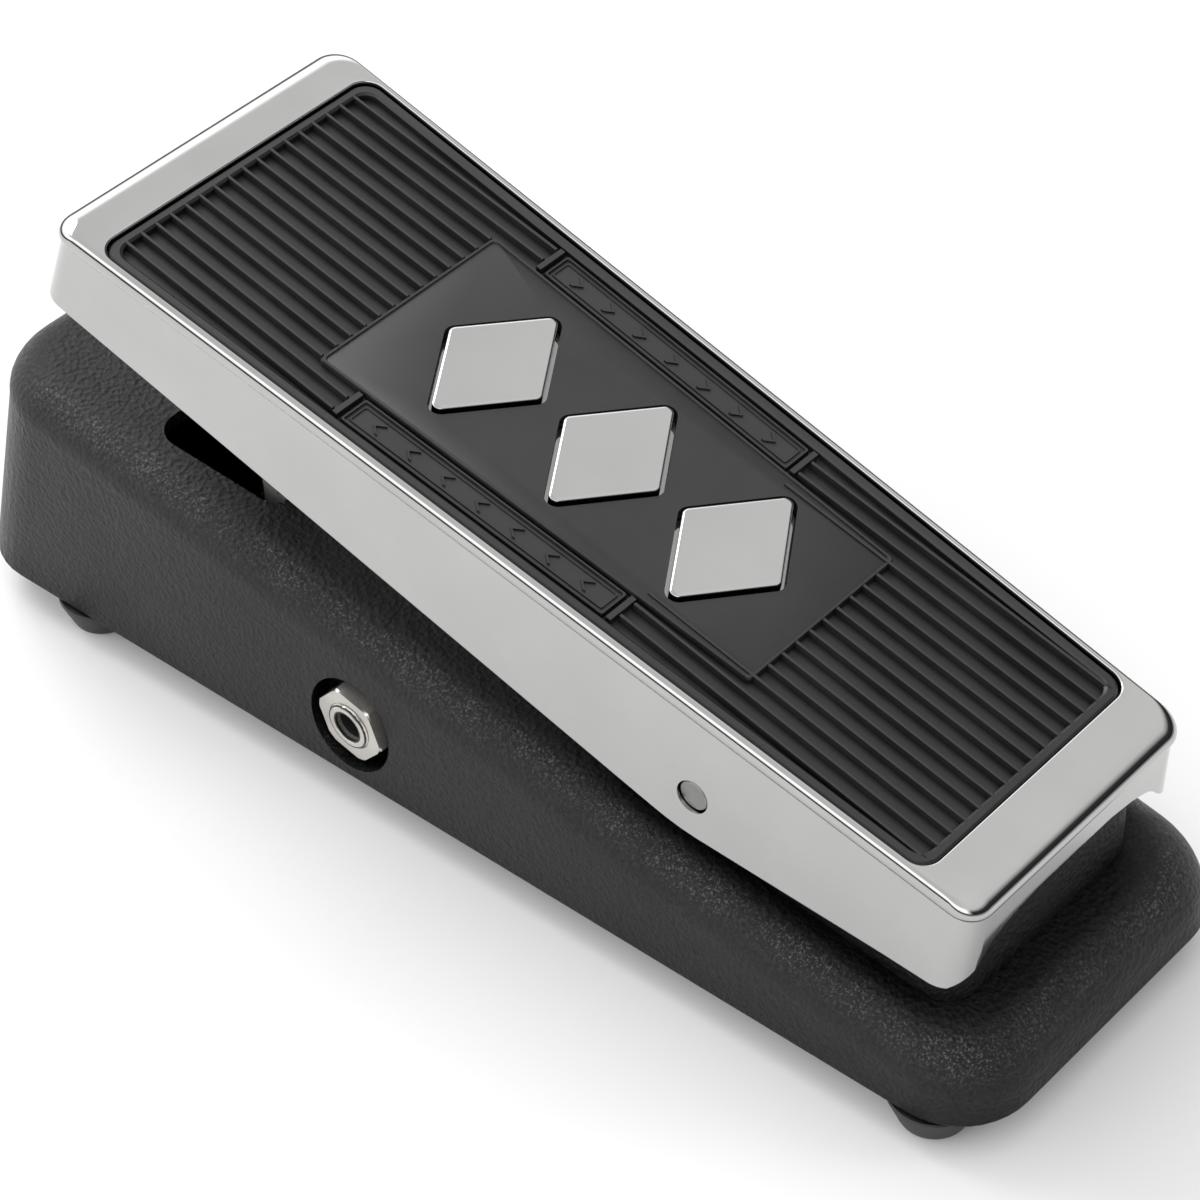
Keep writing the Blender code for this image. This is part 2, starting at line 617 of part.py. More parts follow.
def build_hinge():
    half_length = 32.8 * MM
    cylinder("hinge_rod", ROD_RADIUS, (-half_length, 0, 0), 2 * half_length, "X", STEEL, HINGE)
    bush_bore = ROD_RADIUS + 0.1 * MM
    profile = [(5.5 * MM, 4.2 * MM), (5.5 * MM, 1.2 * MM), (6.7 * MM, 1.2 * MM), (6.7 * MM, 0),
               (bush_bore, 0), (bush_bore, 4.2 * MM)]
    turned("hinge_bushing_right", profile, (24 * MM, HINGE_Y, HINGE_Z), "X", NYLON)
    left = turned("hinge_bushing_left", profile, (-24 * MM, HINGE_Y, HINGE_Z), "X", NYLON)
    left.rotation_euler = (0, math.radians(-90), 0)


def build_bumpers():
    """Rubber stops: one under the toe above the switch, two on the pedestal's heel roof."""
    toe_y = 129.2 * MM
    top = PLATE_UNDERSIDE - GAP
    low = (SWITCH_X, toe_y, top - 5.8 * MM)
    cylinder("toe_bumper", 7 * MM, low, 5.8 * MM, "Z", RUBBER, HINGE)
    roof = math.cos(REST_TILT) * (PEDESTAL_CREST_Z - HINGE_Z)
    for side, name in ((-1, "heel_bumper_left"), (1, "heel_bumper_right")):
        start = (side * 14 * MM, -38 * MM, roof + GAP)
        cylinder(name, 4.5 * MM, start, PLATE_UNDERSIDE - roof - 2 * GAP, "Z", RUBBER, HINGE)


# --------------------------------------------------------------------------- rack and pinion
def build_rack():
    pitch = 2 * math.pi * PINION_RADIUS / PINION_TEETH
    face = RACK_FACE_Y
    back = face + 5 * MM
    bottom = 28.2 * MM
    outline = [(back, bottom), (back, 57 * MM), (59.8 * MM, 59 * MM), (59.8 * MM, 65 * MM),
               (49.4 * MM, 65 * MM), (49.4 * MM, 59 * MM), (face + 1.2 * MM, 57 * MM)]
    for tooth in range(7, -1, -1):
        centre = POT_Z + tooth * pitch
        outline += [(face + 1.2 * MM, centre + 1.0 * MM), (face - 0.7 * MM, centre + 0.4 * MM),
                    (face - 0.7 * MM, centre - 0.4 * MM), (face + 1.2 * MM, centre - 1.0 * MM)]
    outline.append((face + 1.2 * MM, bottom))
    rack = side_prism("rack", outline, RACK_X - 3 * MM, RACK_X + 3 * MM, NYLON)
    slot_radius = 1.9 * MM
    ends = (RACK_PIN_Y - 0.4 * MM, RACK_PIN_Y + 1.8 * MM)
    corners = [(ends[0] - slot_radius, RACK_PIN_Z - slot_radius),
               (ends[1] + slot_radius, RACK_PIN_Z - slot_radius),
               (ends[1] + slot_radius, RACK_PIN_Z + slot_radius),
               (ends[0] - slot_radius, RACK_PIN_Z + slot_radius)]
    slot = rounded_polygon(corners, [slot_radius * 0.98] * 4, 4)
    cut(rack, side_prism("eye", slot, -30 * MM, -10 * MM))

    pin_y, pin_z = rack_pin_place()
    pin = [(0, 11.7 * MM), (1.5 * MM, 11.7 * MM), (1.5 * MM, 0.9 * MM), (3 * MM, 0.9 * MM),
           (3 * MM, 0), (0, 0)]
    turned("rack_pin", pin, (-27.2 * MM, pin_y, pin_z), "X", STEEL, HINGE, 16)
    clip = [(3.2 * MM, 0.6 * MM), (3.2 * MM, 0), (1.6 * MM, 0), (1.6 * MM, 0.6 * MM)]
    turned("rack_pin_clip", clip, (-16.5 * MM, pin_y, pin_z), "X", STEEL, HINGE, 16)


def pinion_outline():
    """Involute-like teeth; a tooth gap faces the rack at rest."""
    outline = []
    flank = [(4.3 * MM, -0.95 * MM), (5.5 * MM, -0.62 * MM), (6.3 * MM, -0.28 * MM),
             (6.3 * MM, 0.28 * MM), (5.5 * MM, 0.62 * MM), (4.3 * MM, 0.95 * MM)]
    for tooth in range(PINION_TEETH):
        angle = (tooth + 0.5) * 2 * math.pi / PINION_TEETH
        for radius, offset in flank:
            spread = angle + offset / radius
            outline.append((PINION_Y + radius * math.cos(spread),
                            POT_Z + radius * math.sin(spread)))
    return outline


def build_pot():
    shaft_radius = 3 * MM
    pinion = side_prism("pinion", pinion_outline(), -22.6 * MM, -17.4 * MM, BLACK_PLASTIC)
    bore = shaft_radius + 0.1 * MM
    cut(pinion, cylinder("pinion_bore", bore, (-30 * MM, PINION_Y, POT_Z), 20 * MM, "X"))
    cylinder("pot_shaft", shaft_radius, (-24.6 * MM, PINION_Y, POT_Z), 12 * MM, "X", STEEL)

    body = [(0, 9 * MM), (11.5 * MM, 9 * MM), (11.5 * MM, 0), (4.4 * MM, 0),
            (4.4 * MM, -3.9 * MM), (3.1 * MM, -3.9 * MM), (3.1 * MM, 0.8 * MM), (0, 0.8 * MM)]
    turned("pot_body", body, (-13 * MM, PINION_Y, POT_Z), "X", STEEL)
    heel_y = 26.5 * MM
    toe_y = 69 * MM
    low_z = 17 * MM
    thickness = 1.2 * MM
    plate_x = -14.5 * MM
    bracket = box("pot_bracket", (plate_x, heel_y, low_z), (plate_x + thickness, toe_y, 39.5 * MM),
                  STEEL)
    join(bracket, box("bracket_flange", (plate_x, heel_y, low_z),
                      (-5 * MM, toe_y, low_z + thickness)))
    cut(bracket, cylinder("pot_hole", 4.7 * MM, (-20 * MM, PINION_Y, POT_Z), 20 * MM, "X"))
    for index, y in enumerate(BRACKET_POST_YS):
        start = (-20 * MM, y, BRACKET_SCREW_Z)
        cut(bracket, cylinder("screw_hole", 1.5 * MM, start, 20 * MM, "X", segments=16))
        screw = [(0, 6.6 * MM), (1.2 * MM, 6.6 * MM), (1.2 * MM, 1.4 * MM), (2.6 * MM, 1.4 * MM),
                 (2.2 * MM, 0), (0, 0)]
        name = ("bracket_screw_rear", "bracket_screw_front")[index]
        turned(name, screw, (-16.2 * MM, y, BRACKET_SCREW_Z), "X", STEEL, None, 12)
    nut = cylinder("pot_nut", 7 * MM, (-16.8 * MM, PINION_Y, POT_Z), 2 * MM, "X", NICKEL,
                   segments=6)
    cut(nut, cylinder("nut_bore", 4.7 * MM, (-20 * MM, PINION_Y, POT_Z), 10 * MM, "X"))

    guide = box("rack_guide", (-23.4 * MM, 57.3 * MM, 27 * MM), (-14.9 * MM, 61.5 * MM, 36 * MM),
                NYLON)
    cut(bracket, cylinder("peg_hole", 1.9 * MM, (-20 * MM, 59.4 * MM, POT_Z), 20 * MM, "X"))
    join(guide, cylinder("peg", 1.6 * MM, (-16 * MM, 59.4 * MM, POT_Z), 2.7 * MM, "X"))


# --------------------------------------------------------------------------- electrics
def build_switch():
    x, y = SWITCH_X, SWITCH_Y
    half = 8.8 * MM
    underside = top_z(y - half) - BASE_WALL - 0.5 * MM
    bush_top = SWITCH_SEAT_Z + 3 * MM
    body = box("footswitch_body", (x - half, y - half, underside - 15 * MM),
               (x + half, y + half, underside), BLACK_PLASTIC)
    bush_base = underside - 1 * MM
    join(body, cylinder("switch_bush", 5.9 * MM, (x, y, bush_base), bush_top - bush_base))
    cut(body, cylinder("plunger_bore", 4.3 * MM, (x, y, underside - 8 * MM), 60 * MM))
    lug_z = underside - 18 * MM
    join(body, box("switch_lug", (x - 1 * MM, y - 3 * MM, lug_z),
                   (x + 1 * MM, y + 3 * MM, underside - 14 * MM)))
    plunger_top = 59.9 * MM
    plunger_base = underside - 4 * MM
    cylinder("footswitch_plunger", 4 * MM, (x, y, plunger_base), plunger_top - plunger_base, "Z",
             NICKEL)
    washer_low = SWITCH_SEAT_Z + 0.1 * MM
    washer = [(8.5 * MM, 0.8 * MM), (8.5 * MM, 0), (6.2 * MM, 0), (6.2 * MM, 0.8 * MM)]
    turned("footswitch_washer", washer, (x, y, washer_low), "Z", NICKEL)
    nut = cylinder("footswitch_nut", 8.2 * MM, (x, y, washer_low + 1.1 * MM), 2 * MM, "Z", NICKEL,
                   segments=6)
    cut(nut, cylinder("switch_nut_bore", 6.2 * MM, (x, y, 40 * MM), 30 * MM))


def build_jacks():
    floor_x = wall_x(JACK_Y, JACK_Z) - COUNTERBORE_DEPTH
    inner_face = wall_x(JACK_Y, JACK_Z) - 8 * MM
    for side, name in ((-1, "output_jack"), (1, "input_jack")):
        near = inner_face - GAP
        far = near - 22 * MM
        low = (min(side * near, side * far), JACK_Y - 6.5 * MM, JACK_Z - 6.2 * MM)
        high = (max(side * near, side * far), JACK_Y + 6.5 * MM, JACK_Z + 6.2 * MM)
        body = box(name, low, high, BLACK_PLASTIC)
        bush_end = floor_x + 4.9 * MM
        start = near - 1 * MM
        length = bush_end - start
        start_x = start if side > 0 else -bush_end
        place = (start_x, JACK_Y, JACK_Z)
        join(body, cylinder(name + "_bush", 4.75 * MM, place, length, "X"))
        bore_x = far + 4 * MM if side > 0 else -bush_end - 1 * MM
        bore_length = bush_end + 1 * MM - (far + 4 * MM)
        cut(body, cylinder(name + "_bore", 3.2 * MM, (bore_x, JACK_Y, JACK_Z), bore_length, "X"))
        nut_x = floor_x + GAP if side > 0 else -floor_x - GAP - JACK_NUT_THICKNESS
        nut = cylinder(name + "_nut", 8 * MM, (nut_x, JACK_Y, JACK_Z), JACK_NUT_THICKNESS, "X",
                       NICKEL, segments=6)
        cut(nut, cylinder(name + "_nut_bore", 5.05 * MM, (nut_x - 5 * MM, JACK_Y, JACK_Z),
                          12 * MM, "X"))


def build_dc_jack():
    place = (wall_x(DC_Y, DC_Z), DC_Y, DC_Z)
    body = [(0, -12 * MM), (3 * MM, -12 * MM), (3 * MM, 3.4 * MM), (5.2 * MM, 3.4 * MM),
            (5.2 * MM, -4.6 * MM), (6.8 * MM, -4.6 * MM), (6.8 * MM, -16 * MM), (0, -16 * MM)]
    turned("dc_jack", body, place, "X", BLACK_PLASTIC)
    start_x = wall_x(DC_Y, DC_Z - 8 * MM) + GAP
    nut = cylinder("dc_jack_nut", 7.6 * MM, (start_x, DC_Y, DC_Z), 1.8 * MM, "X", NICKEL,
                   segments=6)
    cut(nut, cylinder("dc_nut_bore", 5.5 * MM, (start_x - 5 * MM, DC_Y, DC_Z), 12 * MM, "X"))


def build_battery():
    foam_low = PLATE_TOP + GAP
    box("battery_foam", (-13 * MM, -107 * MM, foam_low), (13 * MM, -61 * MM, foam_low + 2 * MM),
        FOAM_GREY)
    low_z = foam_low + 2 * MM + GAP
    box("battery", (-13.25 * MM, -108 * MM, low_z), (13.25 * MM, -61.5 * MM, low_z + 17.5 * MM),
        BATTERY_GREY, bevel=1.2 * MM)
    box("battery_snap", (-12.8 * MM, -61.2 * MM, low_z + 1 * MM),
        (12.8 * MM, -56.5 * MM, low_z + 13 * MM), BLACK_PLASTIC, bevel=0.8 * MM)


def build_board():
    top = BOARD_Z + BOARD_THICKNESS
    board = box("circuit_board", (-25 * MM, -50 * MM, BOARD_Z), (25 * MM, 2 * MM, top),
                BOARD_GREEN)
    screw = [(0, 6.5 * MM), (1.1 * MM, 6.5 * MM), (1.1 * MM, -0.2 * MM), (2.4 * MM, -0.2 * MM),
             (2.4 * MM, -1.4 * MM), (0, -1.4 * MM)]
    for side, name in ((-1, "board_screw_left"), (1, "board_screw_right")):
        x = side * BOARD_SCREW_X
        hole = cylinder("board_hole", 1.4 * MM, (x, BOARD_SCREW_Y, BOARD_Z - 2 * MM), 6 * MM)
        cut(board, hole)
        turned(name, screw, (x, BOARD_SCREW_Y, BOARD_Z), spec=STEEL, segments=12)

    seat = top + GAP
    inductor = [(0, 9 * MM), (6 * MM, 9 * MM), (6.6 * MM, 8.2 * MM), (6.6 * MM, 0), (0, 0)]
    turned("inductor", inductor, (10 * MM, -33 * MM, seat), spec=RED_CAN)
    can = [(0, 10 * MM), (2.6 * MM, 10 * MM), (3.1 * MM, 9.5 * MM), (3.1 * MM, 0), (0, 0)]
    turned("electrolytic_input", can, (-19 * MM, -42 * MM, seat), spec=BLUE_SLEEVE, segments=20)
    turned("electrolytic_bypass", can, (-19 * MM, -33 * MM, seat), spec=BLUE_SLEEVE, segments=20)
    for name, x in (("film_cap_sweep", -11 * MM), ("film_cap_output", -3 * MM)):
        low = (x, -46 * MM, seat)
        box(name, low, (x + 4.5 * MM, -33 * MM, seat + 8.5 * MM), YELLOW_FILM, bevel=0.8 * MM)
    for name, x in (("transistor_first", -8 * MM), ("transistor_second", 2 * MM)):
        outline = [(x + 2.3 * MM * math.cos(angle), -22 * MM + 2.3 * MM * math.sin(angle))
                   for angle in (math.radians(-40 + 26 * step) for step in range(11))]
        prism(name, outline, seat, seat + 4.8 * MM, BLACK_PLASTIC)
    resistor = [(0, 6.4 * MM), (0.9 * MM, 6.4 * MM), (1.2 * MM, 5.6 * MM), (1.2 * MM, 0.8 * MM),
                (0.9 * MM, 0), (0, 0)]
    for name, y in (("resistor_bias", -12 * MM), ("resistor_load", -7.5 * MM),
                    ("resistor_feedback", -3 * MM)):
        turned(name, resistor, (-6 * MM, y, seat + 1.2 * MM), "X", TAN_BODY, segments=16)


def build_wires():
    """Short hook-up wires; their cut ends stop just short of what they feed."""
    z = 24 * MM
    wire("wire_output", [(-12 * MM, 10.9 * MM, 20 * MM), (-12 * MM, 8 * MM, 21 * MM),
                         (-13 * MM, 3 * MM, 20 * MM), (-13 * MM, -3 * MM, 17 * MM),
                         (-13 * MM, -3.5 * MM, 14.6 * MM)], WHITE_WIRE)
    wire("wire_input", [(12 * MM, 10.9 * MM, 20 * MM), (12 * MM, 8 * MM, 21 * MM),
                        (13 * MM, 3 * MM, 20 * MM), (13 * MM, -3 * MM, 17 * MM),
                        (13 * MM, -3.5 * MM, 14.6 * MM)], BLACK_WIRE)
    wire("wire_battery", [(6 * MM, -55.6 * MM, z), (6 * MM, -53 * MM, z),
                          (4 * MM, -51 * MM, 21 * MM), (4 * MM, -48.4 * MM, 16 * MM),
                          (4 * MM, -48.2 * MM, 14.6 * MM)], RED_WIRE)
    wire("wire_pot", [(-5.5 * MM, 34.4 * MM, 28 * MM), (-4.5 * MM, 31 * MM, 27 * MM),
                      (-3 * MM, 20 * MM, 27 * MM), (4 * MM, 8 * MM, 24 * MM),
                      (6 * MM, -2 * MM, 18 * MM), (6 * MM, -3 * MM, 14.6 * MM)], RED_WIRE)


build_base()
build_bottom_plate()
build_feet()
build_treadle()
build_pad()
build_hinge()
build_bumpers()
build_rack()
build_pot()
build_switch()
build_jacks()
build_dc_jack()
build_battery()
build_board()
build_wires()
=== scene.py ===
"""Looks of the rocker pedal: detailed casting, treadle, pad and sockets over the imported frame."""

import json
import math

import bmesh
import bpy
from mathutils import Matrix, Vector


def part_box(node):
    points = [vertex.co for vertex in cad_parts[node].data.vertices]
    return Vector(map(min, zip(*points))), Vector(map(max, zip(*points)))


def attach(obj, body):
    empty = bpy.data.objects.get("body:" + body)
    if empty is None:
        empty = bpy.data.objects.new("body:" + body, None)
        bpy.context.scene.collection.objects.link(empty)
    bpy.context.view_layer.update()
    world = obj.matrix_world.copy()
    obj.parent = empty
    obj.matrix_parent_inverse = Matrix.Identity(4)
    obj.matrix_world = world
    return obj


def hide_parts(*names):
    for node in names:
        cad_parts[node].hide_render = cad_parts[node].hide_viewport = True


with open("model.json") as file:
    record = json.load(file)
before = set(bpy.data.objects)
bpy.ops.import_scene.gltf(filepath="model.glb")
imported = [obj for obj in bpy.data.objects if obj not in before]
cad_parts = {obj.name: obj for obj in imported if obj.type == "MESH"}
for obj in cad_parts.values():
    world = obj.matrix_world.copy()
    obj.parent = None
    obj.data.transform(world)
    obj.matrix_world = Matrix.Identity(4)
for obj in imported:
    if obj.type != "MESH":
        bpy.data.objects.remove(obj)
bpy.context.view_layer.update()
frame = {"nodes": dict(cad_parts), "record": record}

# --------------------------------------------------------------------------- dimensions
MM = 0.001
GAP = 0.3 * MM                      # clearance between neighbouring pieces
TAPER = 0.0346                      # half width gained per unit of length towards the toe
RADIUS_SHRINK = 0.45                # corner radius lost per unit of inset

# base casting
HEEL_Y = -126 * MM
TOE_Y = 126 * MM
BASE_HALF_AT_ZERO = 42.7 * MM
LIP_Z = 7 * MM
LIP_ROUND = 0.8 * MM
LIP_STEPS = 3
BASE_WALL = 3 * MM
BASE_DRAFT = math.tan(math.radians(7))
TOE_DRAFT = math.tan(math.radians(9.8))
BASE_TOE_RADIUS = 16 * MM
BASE_HEEL_RADIUS = 15 * MM
SHOULDER_RADIUS = 9.5 * MM
SHOULDER_STEPS = 14
TOP_SLOPE = 0.155
TOP_Z_AT_CENTRE = 39.2 * MM
PEDESTAL_HEEL_Y = -111.5 * MM
PEDESTAL_TOE_Y = -34.8 * MM
PEDESTAL_RADIUS = 7 * MM
PEDESTAL_CREST_Z = 56 * MM
PEDESTAL_INSET = 3.4 * MM
PEDESTAL_EDGE = 3 * MM
PEDESTAL_STEPS = 6
PEDESTAL_ROOT = 6 * MM              # how far the pedestal reaches into the base before the union
BUSHING_HOLE_RADIUS = 5.8 * MM
SWITCH_X = 8 * MM
SWITCH_Y = 70 * MM
SWITCH_BOSS_Z = 51.8 * MM
SWITCH_BOSS_HEIGHT = 8 * MM
SWITCH_BOSS_RADIUS = 10 * MM
SWITCH_HOLE_RADIUS = 6.3 * MM
RACK_SLOT = [(-14.5 * MM, 47.5 * MM), (-14.5 * MM, 79 * MM), (-30.6 * MM, 79 * MM),
             (-27.4 * MM, 47.5 * MM)]
RACK_SLOT_RADIUS = 5 * MM

# sockets, feet and rod
JACK_Y = 18.2 * MM
JACK_Z = 19.6 * MM
COUNTERBORE_DEPTH = 4.2 * MM
COUNTERBORE_RADIUS = 9.9 * MM
CUP_HEIGHT = 2.6 * MM
NUT_ACROSS = 14.4 * MM
NUT_THICKNESS = 4.1 * MM
NUT_BORE = 5.05 * MM
NUT_TURN = math.radians(12)
BUSH_END = 5.05 * MM                # from the counterbore's floor to the end of the bush
BUSH_BORE = 3.12 * MM
THREAD_CREST = 4.95 * MM
THREAD_ROOT = 4.8 * MM
THREAD_PITCH = 0.6 * MM
THROAT_INNER = 2.9 * MM
THROAT_OUTER = 3.2 * MM
DC_Y = 52 * MM
DC_Z = 20 * MM
DC_HOLE_RADIUS = 5.6 * MM
FOOT_PROFILE = [(2.1, 7.2), (4, 7.2), (4, 6.7), (8.2, 6.7), (8.5, 6.5), (8.5, 6.2), (6.75, 1.4),
                (6.4, 0.6), (5.9, 0.15), (5.5, 0), (4.1, 0), (3.9, 0.2), (3.9, 3), (2.1, 3)]
ROD_RADIUS = 3 * MM
ROD_HALF_LENGTH = 32.8 * MM
ROD_CHAMFER = 0.1 * MM

# treadle; tread coordinates have y = 0 at a reference line and z = 0 at the top of the ribs
HINGE_Y = -59.75 * MM
HINGE_Z = 45.7 * MM
REST_TILT = math.radians(12.68)
HINGE_BACK = 65.5 * MM              # from the reference line to the hinge, along the tread
TREAD_RISE = 18.9 * MM              # from the hinge to the top of the ribs
TREAD_TOE = 93 * MM
TREAD_HEEL = -120.8 * MM
TREAD_HALF = 33.9 * MM
TREAD_CORNER = 5 * MM
RIM_HEIGHT = 0.6 * MM
ROLL_HEIGHT = 2.4 * MM
SIDE_ROLL = 1.35 * MM
END_ROLL = 4.5 * MM
BEAD_HEIGHT = 3.6 * MM
BEAD_CREASE = 0.45 * MM
POCKET_EDGE = 0.45 * MM
SKIRT_FLARE = 0.125
SKIRT_DEPTH = 32 * MM
SKIRT_WALL = 2.4 * MM
PLATE_UNDERSIDE = -5.8 * MM
ROD_HOLE_RADIUS = 3.3 * MM
# lower edge of the skirt, as (y, z), and half of the arch in its heel end, as (x, z)
SKIRT_EDGE = [(94.5, -17.2), (-56.5, -27.1), (-59.5, -27.28), (-62.5, -27.38), (-65.5, -27.3),
              (-68.5, -27), (-108, -21.1), (-127.5, -18.6)]
HEEL_ARCH = [(10, -8.5), (16, -9.5), (18, -10.1), (20, -10.8), (21.4, -11.5), (22.5, -12.3),
             (23.4, -13.2), (24.1, -14.1), (25, -15.1), (26, -16), (27, -16.7), (28, -17.4),
             (29, -18.2), (30, -19.1), (31, -20.2), (32, -22), (32, -60)]
EAR_RADIUS = 4.6 * MM
EAR_X = -26 * MM
EAR_THICKNESS = 2 * MM
EAR_RISE = 25 * MM                  # from the rack pin up to the treadle's plate

# rubber pad and the three raised ornaments, in tread coordinates
PAD_TOE = 82 * MM
PAD_HEEL = -108.6 * MM
PAD_HALF = 31.8 * MM
PAD_CORNER = 4 * MM
PAD_THICKNESS = 3 * MM
VALLEY = -1.6 * MM                  # floor between the ribs
PAD_BORDER = 2.2 * MM
RIB_PITCH = 3.647 * MM
RIBS_PER_SIDE = 8
RIB_BASE = 0.9 * MM
RIB_CREST = 0.6 * MM
RIB_END_GAP = 1.6 * MM
PANEL_TOE = 36.9 * MM
PANEL_HEEL = -63 * MM
PANEL_HALF = 21.6 * MM
PANEL_TAPER = 0.033
PANEL_TOP = -0.45 * MM
PLATE_TOE = 24.7 * MM
PLATE_HEEL = -36.5 * MM
PLATE_HALF = 3.35 * MM
PLATE_BESIDE_PANEL = 4.05 * MM      # from the panel's edge to the plate's middle
PLATE_TOP = -0.95 * MM
STOP_GAP = 0.8 * MM
STOP_WIDTH = 1.1 * MM
CHEVRON_COUNT = 7
CHEVRON_PITCH = 8.1 * MM
CHEVRON_START = 6 * MM
CHEVRON_REACH = 1.35 * MM
DIAMOND_CENTRES = [15 * MM, -13.5 * MM, -42 * MM]
DIAMOND_HALF_WIDTH = 17 * MM
DIAMOND_HALF_HEIGHT = 11.5 * MM
DIAMOND_CORNER = 1.5 * MM
DIAMOND_TOP = 0.3 * MM
DIAMOND_ROUND = 0.7 * MM
WINDOW_GAP = 0.8 * MM               # open border of the pad round each ornament

TREAD = (Matrix.Translation((0, HINGE_Y, HINGE_Z)) @ Matrix.Rotation(REST_TILT, 4, "X")
         @ Matrix.Translation((0, HINGE_BACK, TREAD_RISE)))
WORLD = Matrix.Identity(4)


# --------------------------------------------------------------------------- mesh helpers
def new_object(name, bm, place=WORLD):
    """Turn a finished bmesh into an object, its points moved by a placement matrix."""
    bmesh.ops.recalc_face_normals(bm, faces=bm.faces)
    mesh = bpy.data.meshes.new(name)
    bm.to_mesh(mesh)
    bm.free()
    mesh.transform(place)
    made = bpy.data.objects.new(name, mesh)
    bpy.context.scene.collection.objects.link(made)
    return made


def rounded(corners, radii, steps=10):
    """Points of a convex outline (counter-clockwise) whose corners are round."""
    outline = []
    count = len(corners)
    for index in range(count):
        corner = Vector(corners[index])
        before = (Vector(corners[index - 1]) - corner).normalized()
        after = (Vector(corners[(index + 1) % count]) - corner).normalized()
        half_angle = before.angle(after) / 2
        radius = radii[index]
        centre = corner + (before + after).normalized() * (radius / math.sin(half_angle))
        first = corner + before * (radius / math.tan(half_angle)) - centre
        for step in range(steps + 1):
            turn = Matrix.Rotation((math.pi - 2 * half_angle) * step / steps, 2)
            outline.append(centre + turn @ first)
    return outline


def tapered(half_at_zero, taper, heel, toe, heel_radius, toe_radius, end=(0, 0), side=(0, 0)):
    """A round-cornered outline that widens to the toe; end and side are (heel, toe) insets."""
    heel_y = heel + end[0]
    toe_y = toe - end[1]
    heel_half = half_at_zero + taper * heel_y - side[0]
    toe_half = half_at_zero + taper * toe_y - side[1]
    corners = [(heel_half, heel_y), (toe_half, toe_y), (-toe_half, toe_y), (-heel_half, heel_y)]
    return rounded(corners, [heel_radius, toe_radius, toe_radius, heel_radius])


def quarter(steps):
    """(inset share, drop share) pairs round a quarter circle, outside to top."""
    for step in range(steps + 1):
        angle = math.radians(90) * step / steps
        yield 1 - math.cos(angle), 1 - math.sin(angle)


def loft(name, rings, place=WORLD, closed=False):
    """A solid through rings of equal point count; closed joins the last ring to the first."""
    bm = bmesh.new()
    loops = [[bm.verts.new(point) for point in ring] for ring in rings]
    pairs = list(zip(loops, loops[1:]))
    if closed:
        pairs.append((loops[-1], loops[0]))
    for lower, upper in pairs:
        count = len(lower)
        for i in range(count):
            j = (i + 1) % count
            bm.faces.new((lower[i], lower[j], upper[j], upper[i]))
    if not closed:
        bm.faces.new(reversed(loops[0]))
        bm.faces.new(loops[-1])
    return new_object(name, bm, place)


def prism(name, outline, low, high, place=WORLD):
    """An (x, y) outline raised along Z."""
    return loft(name, [[(x, y, z) for x, y in outline] for z in (low, high)], place)


def slab(name, outlines, heights, place=WORLD):
    """A plate whose outline changes with height, such as one with rounded edges."""
    rings = [[(x, y, z) for x, y in outline] for outline, z in zip(outlines, heights)]
    return loft(name, rings, place)


def side_prism(name, outline, low_x, high_x, place=WORLD):
    """A (y, z) outline raised along X."""
    return loft(name, [[(x, y, z) for y, z in outline] for x in (low_x, high_x)], place)


def front_prism(name, outline, low_y, high_y, place=WORLD):
    """An (x, z) outline raised along Y."""
    return loft(name, [[(x, y, z) for x, z in outline] for y in (low_y, high_y)], place)


def turned(name, profile, place, segments=64, closed=False):
    """Revolve (radius, height) points about Z; the ends are on the axis unless closed."""
    rings = []
    for radius, height in profile:
        radius = max(radius, 0.00001)
        rings.append([(radius * math.cos(2 * math.pi * i / segments),
                       radius * math.sin(2 * math.pi * i / segments), height)
                      for i in range(segments)])
    return loft(name, rings, place, closed)


def cylinder(name, radius, length, place, segments=64):
    return turned(name, [(radius, 0), (radius, length)], place, segments)


def along(axis, location):
    """A matrix that points local Z along an axis, at a location."""
    turn = Vector((0, 0, 1)).rotation_difference(Vector(axis)).to_matrix().to_4x4()
    return Matrix.Translation(location) @ turn


def bake(target, tools, operation):
    """Apply boolean tools to a mesh and remove them."""
    for tool in tools:
        modifier = target.modifiers.new("tool", "BOOLEAN")
        modifier.operation = operation
        modifier.object = tool
        modifier.solver = "EXACT"
    bpy.context.view_layer.update()
    evaluated = target.evaluated_get(bpy.context.evaluated_depsgraph_get())
    mesh = bpy.data.meshes.new_from_object(evaluated)
    target.modifiers.clear()
    target.data = mesh
    for tool in tools:
        bpy.data.objects.remove(tool)
    return target


def cut(target, *tools):
    return bake(target, tools, "DIFFERENCE")


def union(target, *tools):
    return bake(target, tools, "UNION")


def merge(name, objects):
    """One mesh object out of several, without a boolean."""
    bm = bmesh.new()
    for item in objects:
        bm.from_mesh(item.data)
        bpy.data.objects.remove(item)
    mesh = bpy.data.meshes.new(name)
    bm.to_mesh(mesh)
    bm.free()
    made = bpy.data.objects.new(name, mesh)
    bpy.context.scene.collection.objects.link(made)
    return made


def show(made, material, body, nodes=(), angle=32):
    """Shade a finished piece, hang it on its body and let it stand for CAD nodes."""
    made.data.shade_smooth()
    made.data.set_sharp_from_angle(angle=math.radians(angle))
    made.data.materials.clear()
    made.data.materials.append(material)
    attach(made, body)
    if nodes:
        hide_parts(*nodes)
    return made


